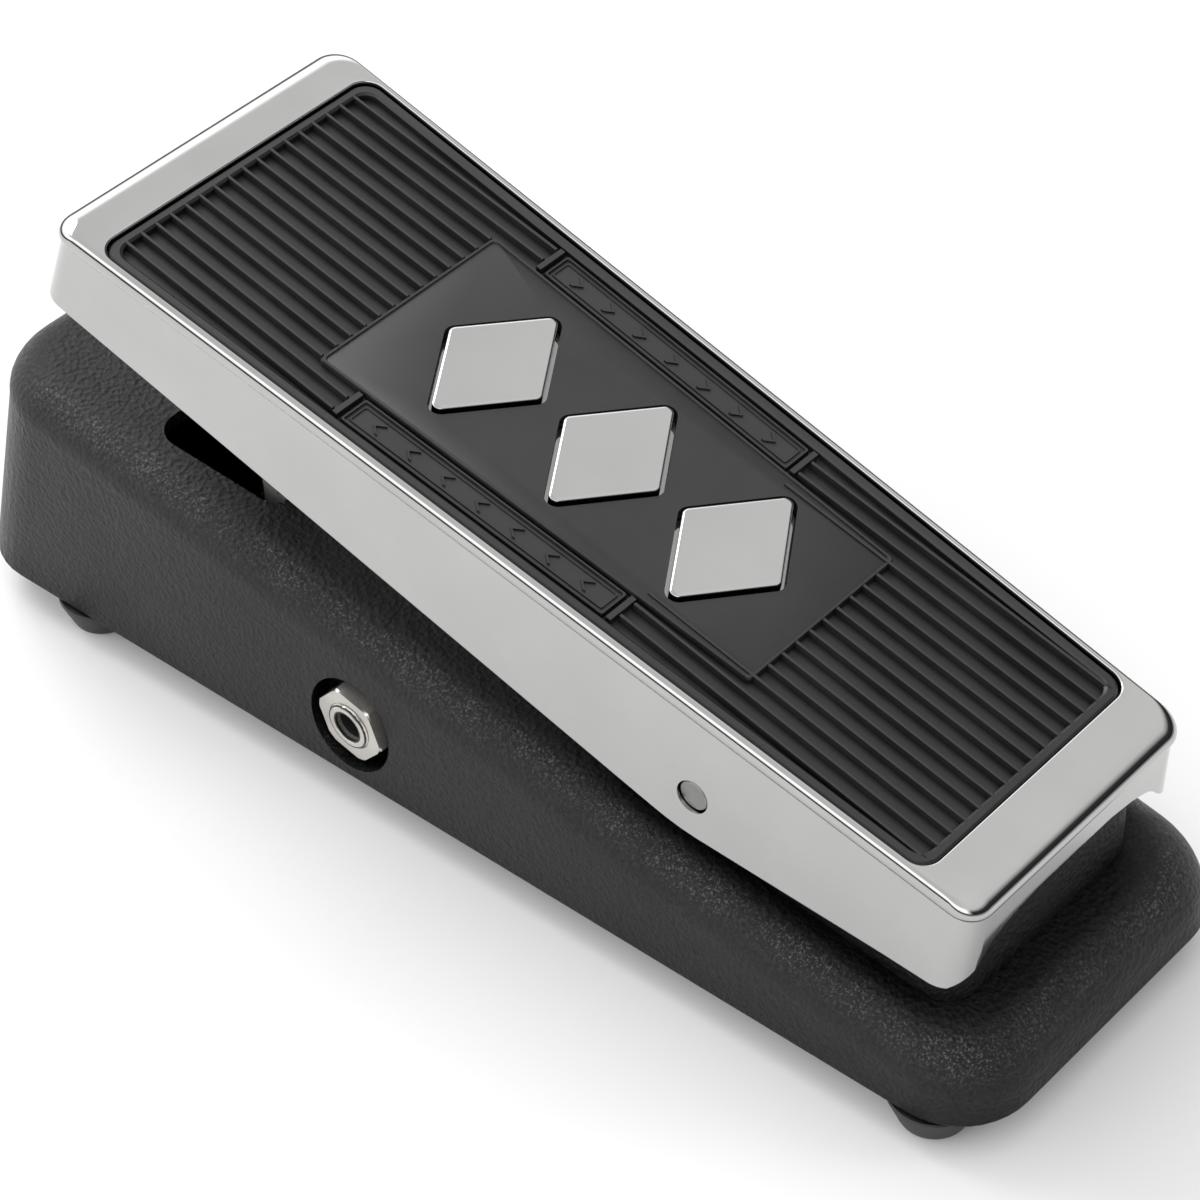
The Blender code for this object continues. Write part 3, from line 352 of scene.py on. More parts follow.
# --------------------------------------------------------------------------- materials
class Look:
    """Small helper that wires a Principled material with procedural nodes."""

    def __init__(self, name, colour, roughness, metallic=0.0):
        self.material = bpy.data.materials.new("look_" + name)
        self.material.use_nodes = True
        self.nodes = self.material.node_tree.nodes
        self.links = self.material.node_tree.links
        self.shader = self.nodes["Principled BSDF"]
        self.shader.inputs["Base Color"].default_value = (*colour, 1)
        self.shader.inputs["Roughness"].default_value = roughness
        self.shader.inputs["Metallic"].default_value = metallic
        self.place = self.nodes.new("ShaderNodeTexCoord").outputs["Object"]

    def noise(self, scale, detail=4.0, stretch=(1, 1, 1), roughness=0.5):
        mapping = self.nodes.new("ShaderNodeMapping")
        mapping.inputs["Scale"].default_value = stretch
        self.links.new(self.place, mapping.inputs["Vector"])
        made = self.nodes.new("ShaderNodeTexNoise")
        made.inputs["Scale"].default_value = scale
        made.inputs["Detail"].default_value = detail
        made.inputs["Roughness"].default_value = roughness
        self.links.new(mapping.outputs["Vector"], made.inputs["Vector"])
        return made.outputs["Fac"]

    def cells(self, scale, feature="F1"):
        made = self.nodes.new("ShaderNodeTexVoronoi")
        made.feature = feature
        made.inputs["Scale"].default_value = scale
        self.links.new(self.place, made.inputs["Vector"])
        return made.outputs["Distance"]

    def remap(self, value, low_in, high_in, low_out, high_out):
        made = self.nodes.new("ShaderNodeMapRange")
        for key, number in (("From Min", low_in), ("From Max", high_in),
                            ("To Min", low_out), ("To Max", high_out)):
            made.inputs[key].default_value = number
        self.links.new(value, made.inputs["Value"])
        return made.outputs["Result"]

    def slope(self):
        """Upward part of the surface normal: 0 on walls, 1 on level faces."""
        made = self.nodes.new("ShaderNodeSeparateXYZ")
        surface = self.nodes.new("ShaderNodeNewGeometry")
        self.links.new(surface.outputs["Normal"], made.inputs["Vector"])
        return made.outputs["Z"]

    def product(self, *values):
        total = values[0]
        for value in values[1:]:
            made = self.nodes.new("ShaderNodeMath")
            made.operation = "MULTIPLY"
            self.links.new(total, made.inputs[0])
            self.links.new(value, made.inputs[1])
            total = made.outputs["Value"]
        return total

    def tint(self, factor, first, second):
        """Mix two colours; the first may be the colour an earlier step returned."""
        made = self.nodes.new("ShaderNodeMix")
        made.data_type = "RGBA"
        if isinstance(first, tuple):
            made.inputs["A"].default_value = (*first, 1)
        else:
            self.links.new(first, made.inputs["A"])
        made.inputs["B"].default_value = (*second, 1)
        self.links.new(factor, made.inputs["Factor"])
        self.links.new(made.outputs["Result"], self.shader.inputs["Base Color"])
        return made.outputs["Result"]

    def painted_shade(self, colour, distance, darkest, open_at):
        """Darken a colour in tight corners with ambient occlusion: painted shade."""
        hidden = self.nodes.new("ShaderNodeAmbientOcclusion")
        hidden.inputs["Distance"].default_value = distance
        hidden.samples = 8
        level = self.remap(hidden.outputs["AO"], 0.2, open_at, darkest, 1.0)
        made = self.nodes.new("ShaderNodeVectorMath")
        made.operation = "SCALE"
        self.links.new(colour, made.inputs[0])
        self.links.new(level, made.inputs["Scale"])
        self.links.new(made.outputs["Vector"], self.shader.inputs["Base Color"])
        return level

    def shine(self, value):
        self.links.new(value, self.shader.inputs["Specular IOR Level"])

    def rough(self, value):
        self.links.new(value, self.shader.inputs["Roughness"])

    def bump(self, *heights):
        """Chain (height, strength, distance) bumps into the shader's normal."""
        previous = None
        for value, strength, distance in heights:
            made = self.nodes.new("ShaderNodeBump")
            made.inputs["Strength"].default_value = strength
            made.inputs["Distance"].default_value = distance
            self.links.new(value, made.inputs["Height"])
            if previous:
                self.links.new(previous, made.inputs["Normal"])
            previous = made.outputs["Normal"]
        self.links.new(previous, self.shader.inputs["Normal"])


def crinkle_paint():
    """Black crinkle paint: a leathery grain, painted glints on the shoulders and painted shade where
    it is hidden.
    """
    look = Look("crinkle_paint", (0.012, 0.012, 0.013), 0.5)
    fine = look.noise(1100, 6, roughness=0.7)
    coarse = look.noise(520, 6, roughness=0.75)
    cells = look.cells(900)
    patches = look.noise(30, 3)
    speck = look.noise(1250, 3, roughness=0.85)
    colour = look.tint(look.remap(speck, 0.46, 0.68, 0, 1), (0.003, 0.003, 0.0033),
                       (0.016, 0.016, 0.0164))
    height = look.slope()
    # painted glints: the paint is lightened in specks on the sloping shoulders, chosen by which way
    # the surface faces, where highlights fall
    painted_glints = look.product(look.remap(look.noise(1900, 2, roughness=0.9), 0.54, 0.66, 0, 1),
                          look.remap(height, 0.42, 0.75, 0, 1),
                          look.remap(height, 0.9, 0.98, 1, 0),
                          look.remap(look.noise(90, 3), 0.35, 0.6, 0.35, 1))
    colour = look.tint(painted_glints, colour, (0.12, 0.12, 0.123))
    # painted shade: ambient occlusion darkens the paint in corners and under the treadle, and the
    # same level lowers its specular there
    shade_level = look.painted_shade(colour, 0.03, 0.25, 0.85)
    look.shine(look.remap(shade_level, 0.3, 1, 0.03, 0.33))
    look.rough(look.remap(patches, 0.3, 0.7, 0.3, 0.42))
    look.bump((coarse, 0.8, 0.0006), (cells, 0.7, 0.0004), (fine, 0.7, 0.0004))
    return look.material


def chrome():
    """Bright plating with a faint haze, hairline scratches and painted shade in its creases."""
    colour = (0.47, 0.47, 0.465)
    look = Look("chrome", colour, 0.06, 1.0)
    haze = look.noise(35, 5, roughness=0.6)
    scratch = look.noise(240, 6, (1, 0.08, 1), 0.7)
    dull = tuple(0.94 * part for part in colour)
    tone = look.tint(look.remap(haze, 0.35, 0.65, 0, 1), dull, colour)
    # painted shade: ambient occlusion darkens the chrome's colour in its creases, such as under the
    # bead
    look.painted_shade(tone, 0.0012, 0.12, 0.62)
    look.rough(look.remap(haze, 0.3, 0.75, 0.045, 0.105))
    look.bump((haze, 0.012, 0.0003), (scratch, 0.006, 0.0001))
    return look.material


def rubber():
    """Matt black rubber with a fine grain, uneven dust and painted shade in its corners."""
    dark = (0.01, 0.01, 0.0103)
    light = (0.017, 0.017, 0.0174)
    look = Look("rubber", dark, 0.55)
    grain = look.noise(1600, 3)
    dust = look.noise(60, 5, roughness=0.7)
    colour = look.tint(look.remap(dust, 0.35, 0.75, 0, 1), dark, light)
    # painted shade: ambient occlusion darkens the rubber beside the ribs and in its corners
    look.painted_shade(colour, 0.0016, 0.1, 0.8)
    look.rough(look.remap(dust, 0.3, 0.7, 0.4, 0.55))
    look.bump((grain, 0.18, 0.0001))
    return look.material


def generic(slot, colour, roughness, metallic):
    """A procedural finish for the pieces inside: colour drift, worn patches and a fine grain."""
    look = Look(slot, colour, roughness, metallic)
    drift = look.noise(140, 4)
    grain = look.noise(1400, 4, (1, 0.2, 1) if metallic else (1, 1, 1))
    dark = tuple(0.8 * part for part in colour)
    light = tuple(min(1.12 * part, 1) for part in colour)
    look.tint(look.remap(drift, 0.3, 0.7, 0, 1), dark, light)
    look.rough(look.remap(drift, 0.3, 0.7, 0.85 * roughness, min(1.25 * roughness, 1)))
    look.bump((grain, 0.2, 0.00008))
    return look.material


PAINT = crinkle_paint()
CHROME = chrome()
RUBBER = rubber()
NICKEL = generic("nickel", (0.6, 0.58, 0.54), 0.2, 0.8)
STEEL = generic("steel", (0.3, 0.3, 0.29), 0.38, 1.0)
INNER = {"black_paint": PAINT, "chrome": CHROME, "black_rubber": RUBBER, "nickel": NICKEL,
         "steel": STEEL,
         # painted shade: the white nylon pieces are toned dark grey so the slot in the base reads
         # dark
         "white_nylon": generic("white_nylon", (0.2, 0.2, 0.19), 0.5, 0.0),
         "black_plastic": generic("black_plastic", (0.02, 0.02, 0.02), 0.4, 0.0),
         "board_green": generic("board_green", (0.03, 0.16, 0.06), 0.4, 0.0),
         "red_lacquer": generic("red_lacquer", (0.5, 0.03, 0.02), 0.3, 0.0),
         "yellow_film": generic("yellow_film", (0.72, 0.5, 0.05), 0.4, 0.0),
         "blue_sleeve": generic("blue_sleeve", (0.03, 0.08, 0.3), 0.35, 0.0),
         "tan_body": generic("tan_body", (0.6, 0.45, 0.28), 0.45, 0.0),
         "battery_grey": generic("battery_grey", (0.12, 0.12, 0.13), 0.35, 0.3),
         "foam_grey": generic("foam_grey", (0.1, 0.1, 0.1), 0.9, 0.0),
         "red_wire": generic("red_wire", (0.5, 0.02, 0.02), 0.4, 0.0),
         "black_wire": generic("black_wire", (0.015, 0.015, 0.015), 0.4, 0.0),
         "white_wire": generic("white_wire", (0.75, 0.75, 0.72), 0.4, 0.0)}

for entry in frame["record"]["subparts"]:
    node = frame["nodes"][entry["node"]]
    node.data.materials.clear()
    node.data.materials.append(INNER[entry["material_slot"]])


# --------------------------------------------------------------------------- base casting
def top_z(y):
    """Height of the base's sloping top."""
    return TOP_Z_AT_CENTRE + TOP_SLOPE * y


def wall_x(y, z):
    """Half width of the base, which is drafted inwards above its lip."""
    return BASE_HALF_AT_ZERO + TAPER * y - BASE_DRAFT * (z - LIP_Z)


def base_outline(inset, heel_rise=0.0, toe_rise=0.0):
    """Outline of the base, drawn in by the draft over the height reached at each end."""
    end = (inset + BASE_DRAFT * heel_rise, inset + TOE_DRAFT * toe_rise)
    side = (inset + BASE_DRAFT * heel_rise, inset + BASE_DRAFT * toe_rise)
    return tapered(BASE_HALF_AT_ZERO, TAPER, HEEL_Y, TOE_Y,
                   BASE_HEEL_RADIUS - RADIUS_SHRINK * inset,
                   BASE_TOE_RADIUS - RADIUS_SHRINK * inset, end, side)


def base_shell(name, offset, bottom, lip_round=0.0):
    """The drafted wedge: optional small round at the lip, then a wide round shoulder."""
    radius = SHOULDER_RADIUS - offset
    rings = []
    for step in range(LIP_STEPS + 1 if lip_round else 1):
        angle = math.radians(90) * step / LIP_STEPS
        inset = offset + lip_round * (1 - math.sin(angle))
        rings.append([(x, y, bottom + lip_round * (1 - math.cos(angle)))
                      for x, y in base_outline(inset)])
    heel_rise = top_z(HEEL_Y) - SHOULDER_RADIUS - LIP_Z
    toe_rise = top_z(TOE_Y) - SHOULDER_RADIUS - LIP_Z
    for share, drop_share in quarter(SHOULDER_STEPS):
        outline = base_outline(offset + radius * share, heel_rise, toe_rise)
        rings.append([(x, y, top_z(y) - offset - radius * drop_share) for x, y in outline])
    return loft(name, rings)


def pedestal(name, bottom):
    """The hump that carries the hinge, its crest falling towards the heel."""
    def crest_z(y):
        return PEDESTAL_CREST_Z + math.tan(REST_TILT) * min(y - HINGE_Y, 0)

    def outline(inset):
        radius = PEDESTAL_RADIUS - RADIUS_SHRINK * inset
        return tapered(TREAD_HALF - PEDESTAL_INSET, TAPER, PEDESTAL_HEEL_Y, PEDESTAL_TOE_Y,
                       radius, radius, (inset, inset), (inset, inset))

    rings = [[(x, y, bottom) for x, y in outline(0)]]
    for share, drop_share in quarter(PEDESTAL_STEPS):
        rings.append([(x, y, crest_z(y) - PEDESTAL_EDGE * drop_share)
                      for x, y in outline(PEDESTAL_EDGE * share)])
    return loft(name, rings)


def jack_seat(side):
    """Placement of a side's socket: origin on the counterbore's floor, Z pointing outwards."""
    floor_x = wall_x(JACK_Y, JACK_Z) - COUNTERBORE_DEPTH
    return along((side, 0, 0), (side * floor_x, JACK_Y, JACK_Z))


def build_base():
    base = base_shell("base_shell_look", 0.0, LIP_Z, LIP_ROUND)
    boss = cylinder("boss", SWITCH_BOSS_RADIUS, SWITCH_BOSS_HEIGHT,
                    Matrix.Translation((SWITCH_X, SWITCH_Y, SWITCH_BOSS_Z - SWITCH_BOSS_HEIGHT)))
    union(base, pedestal("pedestal", top_z(PEDESTAL_HEEL_Y) - PEDESTAL_ROOT), boss)
    cut(base, base_shell("cavity", BASE_WALL, LIP_Z - 1 * MM))
    slot = rounded(RACK_SLOT, [RACK_SLOT_RADIUS] * 4)
    tools = [prism("slot", slot, 30 * MM, 80 * MM),
             cylinder("hinge", BUSHING_HOLE_RADIUS, 80 * MM,
                      along((1, 0, 0), (-40 * MM, HINGE_Y, HINGE_Z))),
             cylinder("switch", SWITCH_HOLE_RADIUS, 40 * MM,
                      Matrix.Translation((SWITCH_X, SWITCH_Y, 30 * MM))),
             cylinder("dc", DC_HOLE_RADIUS, 30 * MM, along((1, 0, 0), (30 * MM, DC_Y, DC_Z)))]
    for side in (-1, 1):
        tools.append(cylinder("counterbore", COUNTERBORE_RADIUS, 20 * MM, jack_seat(side), 96))
    cut(base, *tools)
    pieces = [base]
    inner = COUNTERBORE_RADIUS + 0.05 * MM
    outer = COUNTERBORE_RADIUS + 0.8 * MM
    cup = [(5.2 * MM, -1.2 * MM), (5.2 * MM, 0), (inner, 0), (inner, CUP_HEIGHT),
           (outer, CUP_HEIGHT), (outer, -1.2 * MM)]
    for side in (-1, 1):
        pieces.append(turned("cup", cup, jack_seat(side), closed=True))
    return merge("base_look", pieces)


# --------------------------------------------------------------------------- treadle
def tread_outline(side, end=None):
    """Outline of the treadle, moved inwards by one amount at its sides and one at its ends."""
    if end is None:
        end = side
    radius = TREAD_CORNER - RADIUS_SHRINK * side
    return tapered(TREAD_HALF, TAPER, TREAD_HEEL, TREAD_TOE, radius, radius,
                   (end, end), (side, side))


def pad_outline(inset):
    radius = PAD_CORNER - RADIUS_SHRINK * inset
    return tapered(PAD_HALF, TAPER, PAD_HEEL, PAD_TOE, radius, radius,
                   (inset, inset), (inset, inset))


def diamond(centre, grow):
    side_distance = (DIAMOND_HALF_WIDTH * DIAMOND_HALF_HEIGHT
                     / math.hypot(DIAMOND_HALF_WIDTH, DIAMOND_HALF_HEIGHT))
    scale = (side_distance + grow) / side_distance
    corners = [(DIAMOND_HALF_WIDTH * scale, centre), (0, centre + DIAMOND_HALF_HEIGHT * scale),
               (-DIAMOND_HALF_WIDTH * scale, centre), (0, centre - DIAMOND_HALF_HEIGHT * scale)]
    return rounded(corners, [max(DIAMOND_CORNER + grow, 0.2 * MM)] * 4, 8)


def treadle_rings():
    """Outlines and heights of the treadle's skin: skirt, bead, rolled rim, then the pad's pocket."""
    top = RIM_HEIGHT
    bottom = -SKIRT_DEPTH
    crease = top - BEAD_HEIGHT

    def skirt_inset(z):
        return BEAD_CREASE - SKIRT_FLARE * (crease - z)

    rings = [(tread_outline(skirt_inset(bottom)), bottom)]
    for drop in (2, 1, 0.3):
        z = crease - drop * MM
        rings.append((tread_outline(skirt_inset(z)), z))
    for inset, drop in ((0.45, -1.05), (0.2, -0.8), (0.05, -0.4)):
        rings.append((tread_outline(inset * MM), top - ROLL_HEIGHT + drop * MM))
    for inset, drop in quarter(12):
        rings.append((tread_outline(SIDE_ROLL * inset, END_ROLL * inset),
                      top - ROLL_HEIGHT * drop))
    for inset, drop in reversed(list(quarter(5))):
        rings.append((pad_outline(-POCKET_EDGE * inset - GAP / 2), top - POCKET_EDGE * drop))
    rings.append((pad_outline(-GAP / 2), -PAD_THICKNESS - GAP))
    return zip(*rings)


def treadle_cavity():
    crease = RIM_HEIGHT - BEAD_HEIGHT
    flare = SKIRT_FLARE * (crease + SKIRT_DEPTH) - BEAD_CREASE
    wall_low = SKIRT_WALL - flare - SKIRT_FLARE * 1 * MM
    wall_high = SKIRT_WALL + BEAD_CREASE - SKIRT_FLARE * (crease - PLATE_UNDERSIDE)
    return slab("inside", [tread_outline(wall_low), tread_outline(wall_high)],
                [-SKIRT_DEPTH - 1 * MM, PLATE_UNDERSIDE], TREAD)


def ornament(centre):
    """A raised diamond with rounded edges, standing on the floor of the pocket."""
    rise = DIAMOND_ROUND / 2
    outlines = [diamond(centre, 0.0), diamond(centre, 0.0)]
    heights = [-PAD_THICKNESS - 2 * GAP, DIAMOND_TOP - 1.1 * rise]
    for inset, drop in quarter(5):
        outlines.append(diamond(centre, -DIAMOND_ROUND * inset))
        heights.append(DIAMOND_TOP - rise * drop)
    return slab("ornament", outlines, heights, TREAD)


def build_treadle():
    outlines, heights = treadle_rings()
    treadle = slab("treadle_shell", outlines, heights, TREAD)
    corners = [(TREAD_HEEL - 10 * MM, -60 * MM), (TREAD_TOE + 10 * MM, -60 * MM)]
    trim = side_prism("trim", corners + [(y * MM, z * MM) for y, z in SKIRT_EDGE],
                      -60 * MM, 60 * MM, TREAD)
    half = [(x * MM, z * MM) for x, z in HEEL_ARCH]
    opening = front_prism("arch", half + [(-x, z) for x, z in half[::-1]],
                          TREAD_HEEL - 5 * MM, TREAD_HEEL + 8 * MM, TREAD)
    bore = cylinder("bore", ROD_HOLE_RADIUS, 100 * MM,
                    along((1, 0, 0), (-50 * MM, HINGE_Y, HINGE_Z)))
    cut(treadle, treadle_cavity())
    cut(treadle, trim, opening, bore)

    pin_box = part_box("rack_pin")
    pin_y = (pin_box[0].y + pin_box[1].y) / 2
    pin_z = (pin_box[0].z + pin_box[1].z) / 2
    ear = cylinder("ear", EAR_RADIUS, EAR_THICKNESS, along((1, 0, 0), (EAR_X, pin_y, pin_z)))
    web = side_prism("web", [(pin_y - EAR_RADIUS, pin_z), (pin_y + EAR_RADIUS, pin_z),
                             (pin_y + EAR_RADIUS, pin_z + EAR_RISE + 2 * MM),
                             (pin_y - EAR_RADIUS, pin_z + EAR_RISE)],
                     EAR_X, EAR_X + EAR_THICKNESS)
    ornaments = [ornament(centre) for centre in DIAMOND_CENTRES]
    return merge("treadle_look", [treadle, ear, web] + ornaments)


def bar(name, x, heel_y, toe_y, low, high, base_width, top_width, place=TREAD):
    """A raised bar along the tread with slanted sides."""
    def ring(width, z):
        slope = 0.25 * (base_width - width)
        return [(x - width / 2, heel_y + slope, z), (x + width / 2, heel_y + slope, z),
                (x + width / 2, toe_y - slope, z), (x - width / 2, toe_y - slope, z)]

    return loft(name, [ring(base_width, low), ring(top_width, high - 0.12 * MM),
                       ring(top_width * 0.6, high)], place)


def frame_ring(name, outer, inner, low, high, place=TREAD):
    """A raised closed border between two outlines, its top edges slightly rounded."""
    def mid(share):
        return [Vector(a) * (1 - share) + Vector(b) * share for a, b in zip(outer, inner)]

    edge = 0.25 * (high - low)
    rings = [[(x, y, low) for x, y in mid(0)], [(x, y, high - edge) for x, y in mid(0)],
             [(x, y, high) for x, y in mid(0.22)], [(x, y, high) for x, y in mid(0.78)],
             [(x, y, high - edge) for x, y in mid(1)], [(x, y, low) for x, y in mid(1)]]
    return loft(name, rings, place, closed=True)


def rectangle(centre_x, half_width, heel, toe, inset, lean=0.0):
    """A strip along the tread; lean is how far it moves outwards per unit of length."""
    low = heel + inset
    high = toe - inset
    corners = [(centre_x + lean * low + half_width - inset, low),
               (centre_x + lean * high + half_width - inset, high),
               (centre_x + lean * high - half_width + inset, high),
               (centre_x + lean * low - half_width + inset, low)]
    return rounded(corners, [0.4 * MM] * 4, 3)


def panel_outline(inset):
    return tapered(PANEL_HALF, PANEL_TAPER, PANEL_HEEL, PANEL_TOE, 1 * MM, 1 * MM,
                   (inset, inset), (inset, inset))


def pad_windows():
    return [prism("window", diamond(centre, WINDOW_GAP), -9 * MM, 9 * MM, TREAD)
            for centre in DIAMOND_CENTRES]


def pad_ribs():
    """The ribs at the toe and at the heel; those beside the panel run on to the side plates."""
    ribs = []
    for rib in range(-RIBS_PER_SIDE, RIBS_PER_SIDE + 1):
        x = rib * RIB_PITCH
        for at_toe, at_y in ((True, PANEL_TOE), (False, PAD_HEEL)):
            if abs(x) > PAD_HALF + TAPER * at_y - PAD_BORDER:
                continue
            beside = abs(x) > PANEL_HALF + PANEL_TAPER * at_y
            if at_toe:
                heel_y = PLATE_TOE + PAD_BORDER if beside else PANEL_TOE
                toe_y = PAD_TOE - RIB_END_GAP
            else:
                heel_y = PAD_HEEL + RIB_END_GAP
                toe_y = PLATE_HEEL - PAD_BORDER if beside else PANEL_HEEL
            ribs.append(bar("rib", x, heel_y, toe_y, VALLEY, 0, RIB_BASE, RIB_CREST))
    return ribs


def side_plate(side):
    """A framed strip beside the panel, with a stop across each end and a row of chevrons."""
    centre_x = side * (PANEL_HALF + PLATE_BESIDE_PANEL)
    lean = side * TAPER

    def plate(inset):
        return rectangle(centre_x, PLATE_HALF, PLATE_HEEL, PLATE_TOE, inset, lean)

    pieces = [slab("side_plate", [plate(-0.1 * MM), plate(0.1 * MM)],
                   [VALLEY - 0.3 * MM, PLATE_TOP], TREAD),
              frame_ring("plate_edge", plate(0), plate(0.55 * MM), VALLEY, -0.5 * MM),
              frame_ring("plate_line", plate(1.05 * MM), plate(1.4 * MM), VALLEY, -0.7 * MM)]
    for end_y, low in ((PLATE_TOE, PLATE_TOE + STOP_GAP),
                       (PLATE_HEEL, PLATE_HEEL - STOP_GAP - STOP_WIDTH)):
        centre = centre_x + lean * end_y
        stop = [(centre - PLATE_HALF, low), (centre + PLATE_HALF, low),
                (centre + PLATE_HALF, low + STOP_WIDTH), (centre - PLATE_HALF, low + STOP_WIDTH)]
        pieces.append(prism("stop", stop, VALLEY, -0.1 * MM, TREAD))
    for step in range(CHEVRON_COUNT):
        y = PLATE_TOE - CHEVRON_START - step * CHEVRON_PITCH
        tip_x = centre_x + lean * y
        for arm in (-1, 1):
            points = [(tip_x + arm * CHEVRON_REACH, y + side * 1.1 * MM),
                      (tip_x + arm * CHEVRON_REACH, y + side * 0.5 * MM),
                      (tip_x, y - side * 1.2 * MM), (tip_x, y - side * 0.6 * MM)]
            pieces.append(prism("chevron", points, -1.1 * MM, -0.6 * MM, TREAD))
    return pieces


def build_pad():
    floor = slab("floor", [pad_outline(GAP / 2), pad_outline(GAP / 2)],
                 [-PAD_THICKNESS, VALLEY], TREAD)
    panel = slab("panel", [panel_outline(-0.2 * MM), panel_outline(0), panel_outline(0.25 * MM)],
                 [VALLEY - 0.5 * MM, PANEL_TOP - 0.15 * MM, PANEL_TOP], TREAD)
    cut(floor, *pad_windows())
    cut(panel, *pad_windows())
    pieces = [floor, panel,
              frame_ring("border", pad_outline(GAP / 2), pad_outline(PAD_BORDER), VALLEY, 0),
              frame_ring("panel_edge", panel_outline(-0.1 * MM), panel_outline(0.7 * MM),
                         VALLEY, PANEL_TOP + 0.25 * MM)]
    return merge("pad_look", pieces + pad_ribs() + side_plate(-1) + side_plate(1))


# --------------------------------------------------------------------------- sockets, feet, rod
def hex_nut(name, across, thickness, bore, place):
    """A chamfered hexagon nut, front face outwards, with a round bore."""
    segments = 96
    flat = across / 2
    corner = flat / math.cos(math.radians(30))
    rings = []
    # each ring: share of the thickness, and the corner radius left there by the chamfer
    for height_share, limit_share in ((0.0, 0.93), (0.08, 1.0), (0.9, 1.0), (1.0, 0.935)):
        ring = []
        for i in range(segments):
            angle = 2 * math.pi * i / segments
            # angle from the middle of the nearest flat
            within = (angle + math.pi / 6) % (math.pi / 3) - math.pi / 6
            radius = min(flat / math.cos(within), corner * limit_share)
            ring.append((radius * math.cos(angle), radius * math.sin(angle),
                         height_share * thickness))
        rings.append(ring)
    nut = loft(name, rings, place)
    return cut(nut, cylinder("bore", bore, 20 * MM, place @ Matrix.Translation((0, 0, -5 * MM))))


def build_jack(side, name):
    place = jack_seat(side)
    spin = Matrix.Rotation(side * NUT_TURN, 4, "Z")
    nut = hex_nut(name + "_nut_look", NUT_ACROSS, NUT_THICKNESS, NUT_BORE,
                  place @ Matrix.Translation((0, 0, GAP)) @ spin)
    show(nut, NICKEL, "base", [name + "_nut"], 20)

    end = BUSH_END
    lip = [(BUSH_BORE, 1.8), (BUSH_BORE, 1.1), (3.22 * MM, 0.5), (3.5 * MM, 0.1), (3.85 * MM, 0),
           (4.35 * MM, 0.05), (4.65 * MM, 0.25), (4.75 * MM, 0.55)]
    profile = [(radius, end - drop * MM) for radius, drop in lip]
    height = end - 0.7 * MM
    while height > GAP:
        profile += [(THREAD_CREST, height), (THREAD_ROOT, height - THREAD_PITCH / 2)]
        height -= THREAD_PITCH
    profile += [(THREAD_ROOT, 0.0), (THREAD_ROOT, -1 * MM), (3.6 * MM, -1 * MM),
                (3.6 * MM, end - 1.8 * MM)]
    bush = turned(name + "_bush_look", profile, place, 96, closed=True)
    show(bush, NICKEL, "base", (), 25)

    front = end - 1.3 * MM
    back = end - 7 * MM
    throat = turned(name + "_throat_look", [(THROAT_INNER, front), (THROAT_OUTER, front),
                                            (THROAT_OUTER, back), (THROAT_INNER, back)],
                    place, 48, closed=True)
    show(throat, RUBBER, "base")


def build_foot(name):
    low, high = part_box(name)
    place = Matrix.Translation(((low.x + high.x) / 2, (low.y + high.y) / 2, 0))
    foot = turned(name + "_look", [(r * MM, z * MM) for r, z in FOOT_PROFILE], place, 64,
                  closed=True)
    show(foot, RUBBER, "base", [name])


def build_rod():
    end = [(0, 0), (ROD_RADIUS - ROD_CHAMFER, 0), (ROD_RADIUS, ROD_CHAMFER)]
    profile = end + [(radius, 2 * ROD_HALF_LENGTH - z) for radius, z in end[::-1]]
    rod = turned("rod_look", profile, along((1, 0, 0), (-ROD_HALF_LENGTH, HINGE_Y, HINGE_Z)))
    show(rod, STEEL, "treadle", ["hinge_rod"])


show(build_base(), PAINT, "base", ["base_casting"])
show(build_treadle(), CHROME, "treadle", ["treadle_casting"], 25)
show(build_pad(), RUBBER, "treadle", ["rubber_pad"], 30)
for jack_side, jack_name in ((-1, "output_jack"), (1, "input_jack")):
    build_jack(jack_side, jack_name)
for foot_name in ("foot_heel_left", "foot_heel_right", "foot_toe_left", "foot_toe_right"):
    build_foot(foot_name)
build_rod()


# --------------------------------------------------------------------------- studio
WORLD_STRENGTH = 1.2
FLOOR_TONE = (0.78, 0.78, 0.78)
LENS = 104.5
SENSOR = 36
CAMERA_PLACE = Vector((-0.335111, -0.338136, 0.47798))
CAMERA_RIGHT = Vector((0.670533, -0.740518, -0.044926))
CAMERA_DOWN = Vector((-0.529513, -0.435297, -0.728101))
CAMERA_FORWARD = Vector((0.519615, 0.512005, -0.683996))


def build_floor():
    bm = bmesh.new()
    bmesh.ops.create_grid(bm, x_segments=1, y_segments=1, size=6)
    floor = new_object("floor", bm)
    look = Look("floor", FLOOR_TONE, 0.75)
    look.rough(look.remap(look.noise(12, 3), 0.3, 0.7, 0.65, 0.85))
    floor.data.materials.append(look.material)


def area_light(name, place, aim, size, power, glossy=False):
    light = bpy.data.lights.new(name, "AREA")
    light.shape = "RECTANGLE"
    light.size, light.size_y = size
    light.energy = power
    made = bpy.data.objects.new(name, light)
    made.location = place
    made.rotation_euler = (Vector(aim) - Vector(place)).to_track_quat("-Z", "Y").to_euler()
    bpy.context.scene.collection.objects.link(made)
    made.visible_glossy = glossy


def world_ramp(nodes, links, height, stops):
    """Brightness by height: stops are (height, level), from the horizon at 0 up to 1."""
    ramp = nodes.new("ShaderNodeValToRGB")
    ramp.color_ramp.elements[0].position = stops[0][0]
    ramp.color_ramp.elements[1].position = stops[-1][0]
    for index, (position, level) in enumerate(stops):
        if 0 < index < len(stops) - 1:
            ramp.color_ramp.elements.new(position)
        ramp.color_ramp.elements[index].color = (level, level, level, 1)
    links.new(height, ramp.inputs["Fac"])
    return ramp.outputs["Color"]


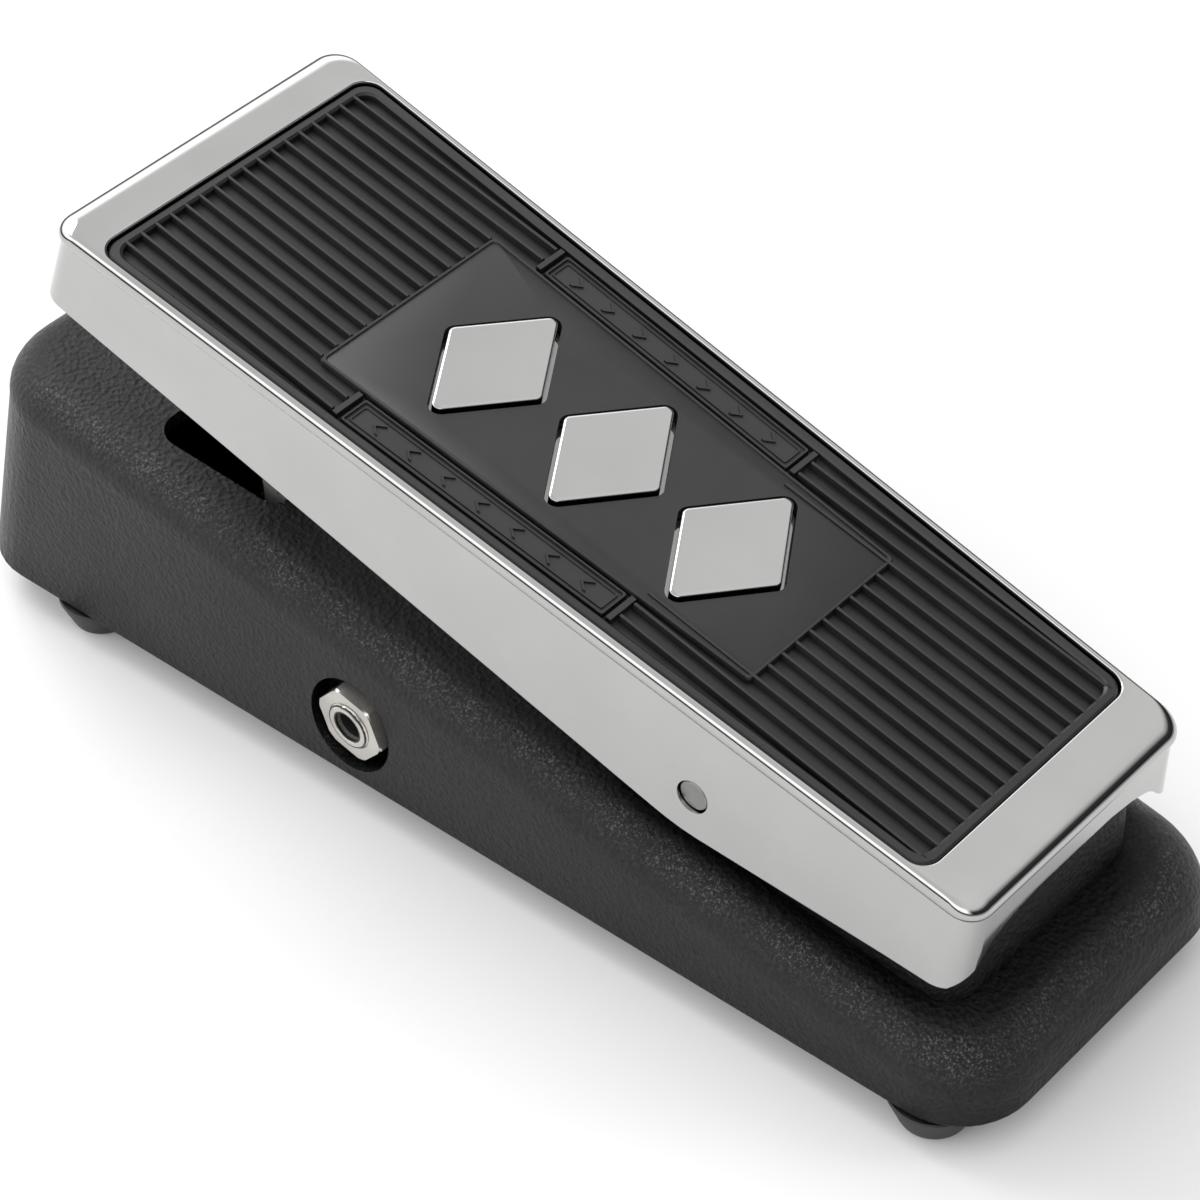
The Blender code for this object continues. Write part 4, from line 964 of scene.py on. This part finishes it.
def build_world():
    """A white studio: bright ceiling, a lit left side and a dark, low right side."""
    world = bpy.data.worlds.new("studio")
    bpy.context.scene.world = world
    world.use_nodes = True
    nodes = world.node_tree.nodes
    links = world.node_tree.links
    place = nodes.new("ShaderNodeTexCoord")
    split = nodes.new("ShaderNodeSeparateXYZ")
    links.new(place.outputs["Generated"], split.inputs["Vector"])
    lit = world_ramp(nodes, links, split.outputs["Z"],
                     [(0.0, 0.02), (0.1, 0.05), (0.2, 0.2), (0.3, 1.5), (0.45, 2.2),
                      (0.6, 2.1), (0.72, 0.9), (1.0, 0.8)])
    dark = world_ramp(nodes, links, split.outputs["Z"],
                      [(0.0, 0.03), (0.1, 0.6), (0.16, 0.02), (0.5, 0.05), (0.7, 0.9),
                       (0.85, 0.95), (1.0, 1.0)])
    side = nodes.new("ShaderNodeVectorMath")
    side.operation = "DOT_PRODUCT"
    side.inputs[1].default_value = (0.7, -0.7, 0)
    links.new(place.outputs["Generated"], side.inputs[0])
    share = nodes.new("ShaderNodeMapRange")
    share.interpolation_type = "SMOOTHSTEP"
    share.inputs["From Min"].default_value = 0.05
    share.inputs["From Max"].default_value = 0.4
    links.new(side.outputs["Value"], share.inputs["Value"])
    mix = nodes.new("ShaderNodeMix")
    mix.data_type = "RGBA"
    links.new(share.outputs["Result"], mix.inputs["Factor"])
    links.new(lit, mix.inputs["A"])
    links.new(dark, mix.inputs["B"])
    links.new(mix.outputs["Result"], nodes["Background"].inputs["Color"])
    nodes["Background"].inputs["Strength"].default_value = WORLD_STRENGTH


build_floor()
build_world()
area_light("key", (0.15, 1.1, 1.15), (0, 0, 0.04), (0.9, 0.5), 11, glossy=True)
area_light("fill", (0.9, -0.9, 0.9), (0, 0, 0.04), (0.5, 0.5), 3)

camera_data = bpy.data.cameras.new("camera")
camera_data.sensor_width = SENSOR
camera_data.lens = LENS
camera = bpy.data.objects.new("camera", camera_data)
bpy.context.scene.collection.objects.link(camera)
turn = Matrix((CAMERA_RIGHT, -CAMERA_DOWN, -CAMERA_FORWARD)).transposed()
camera.matrix_world = Matrix.Translation(CAMERA_PLACE) @ turn.to_4x4()
bpy.context.scene.camera = camera
bpy.context.scene.view_settings.view_transform = "Standard"
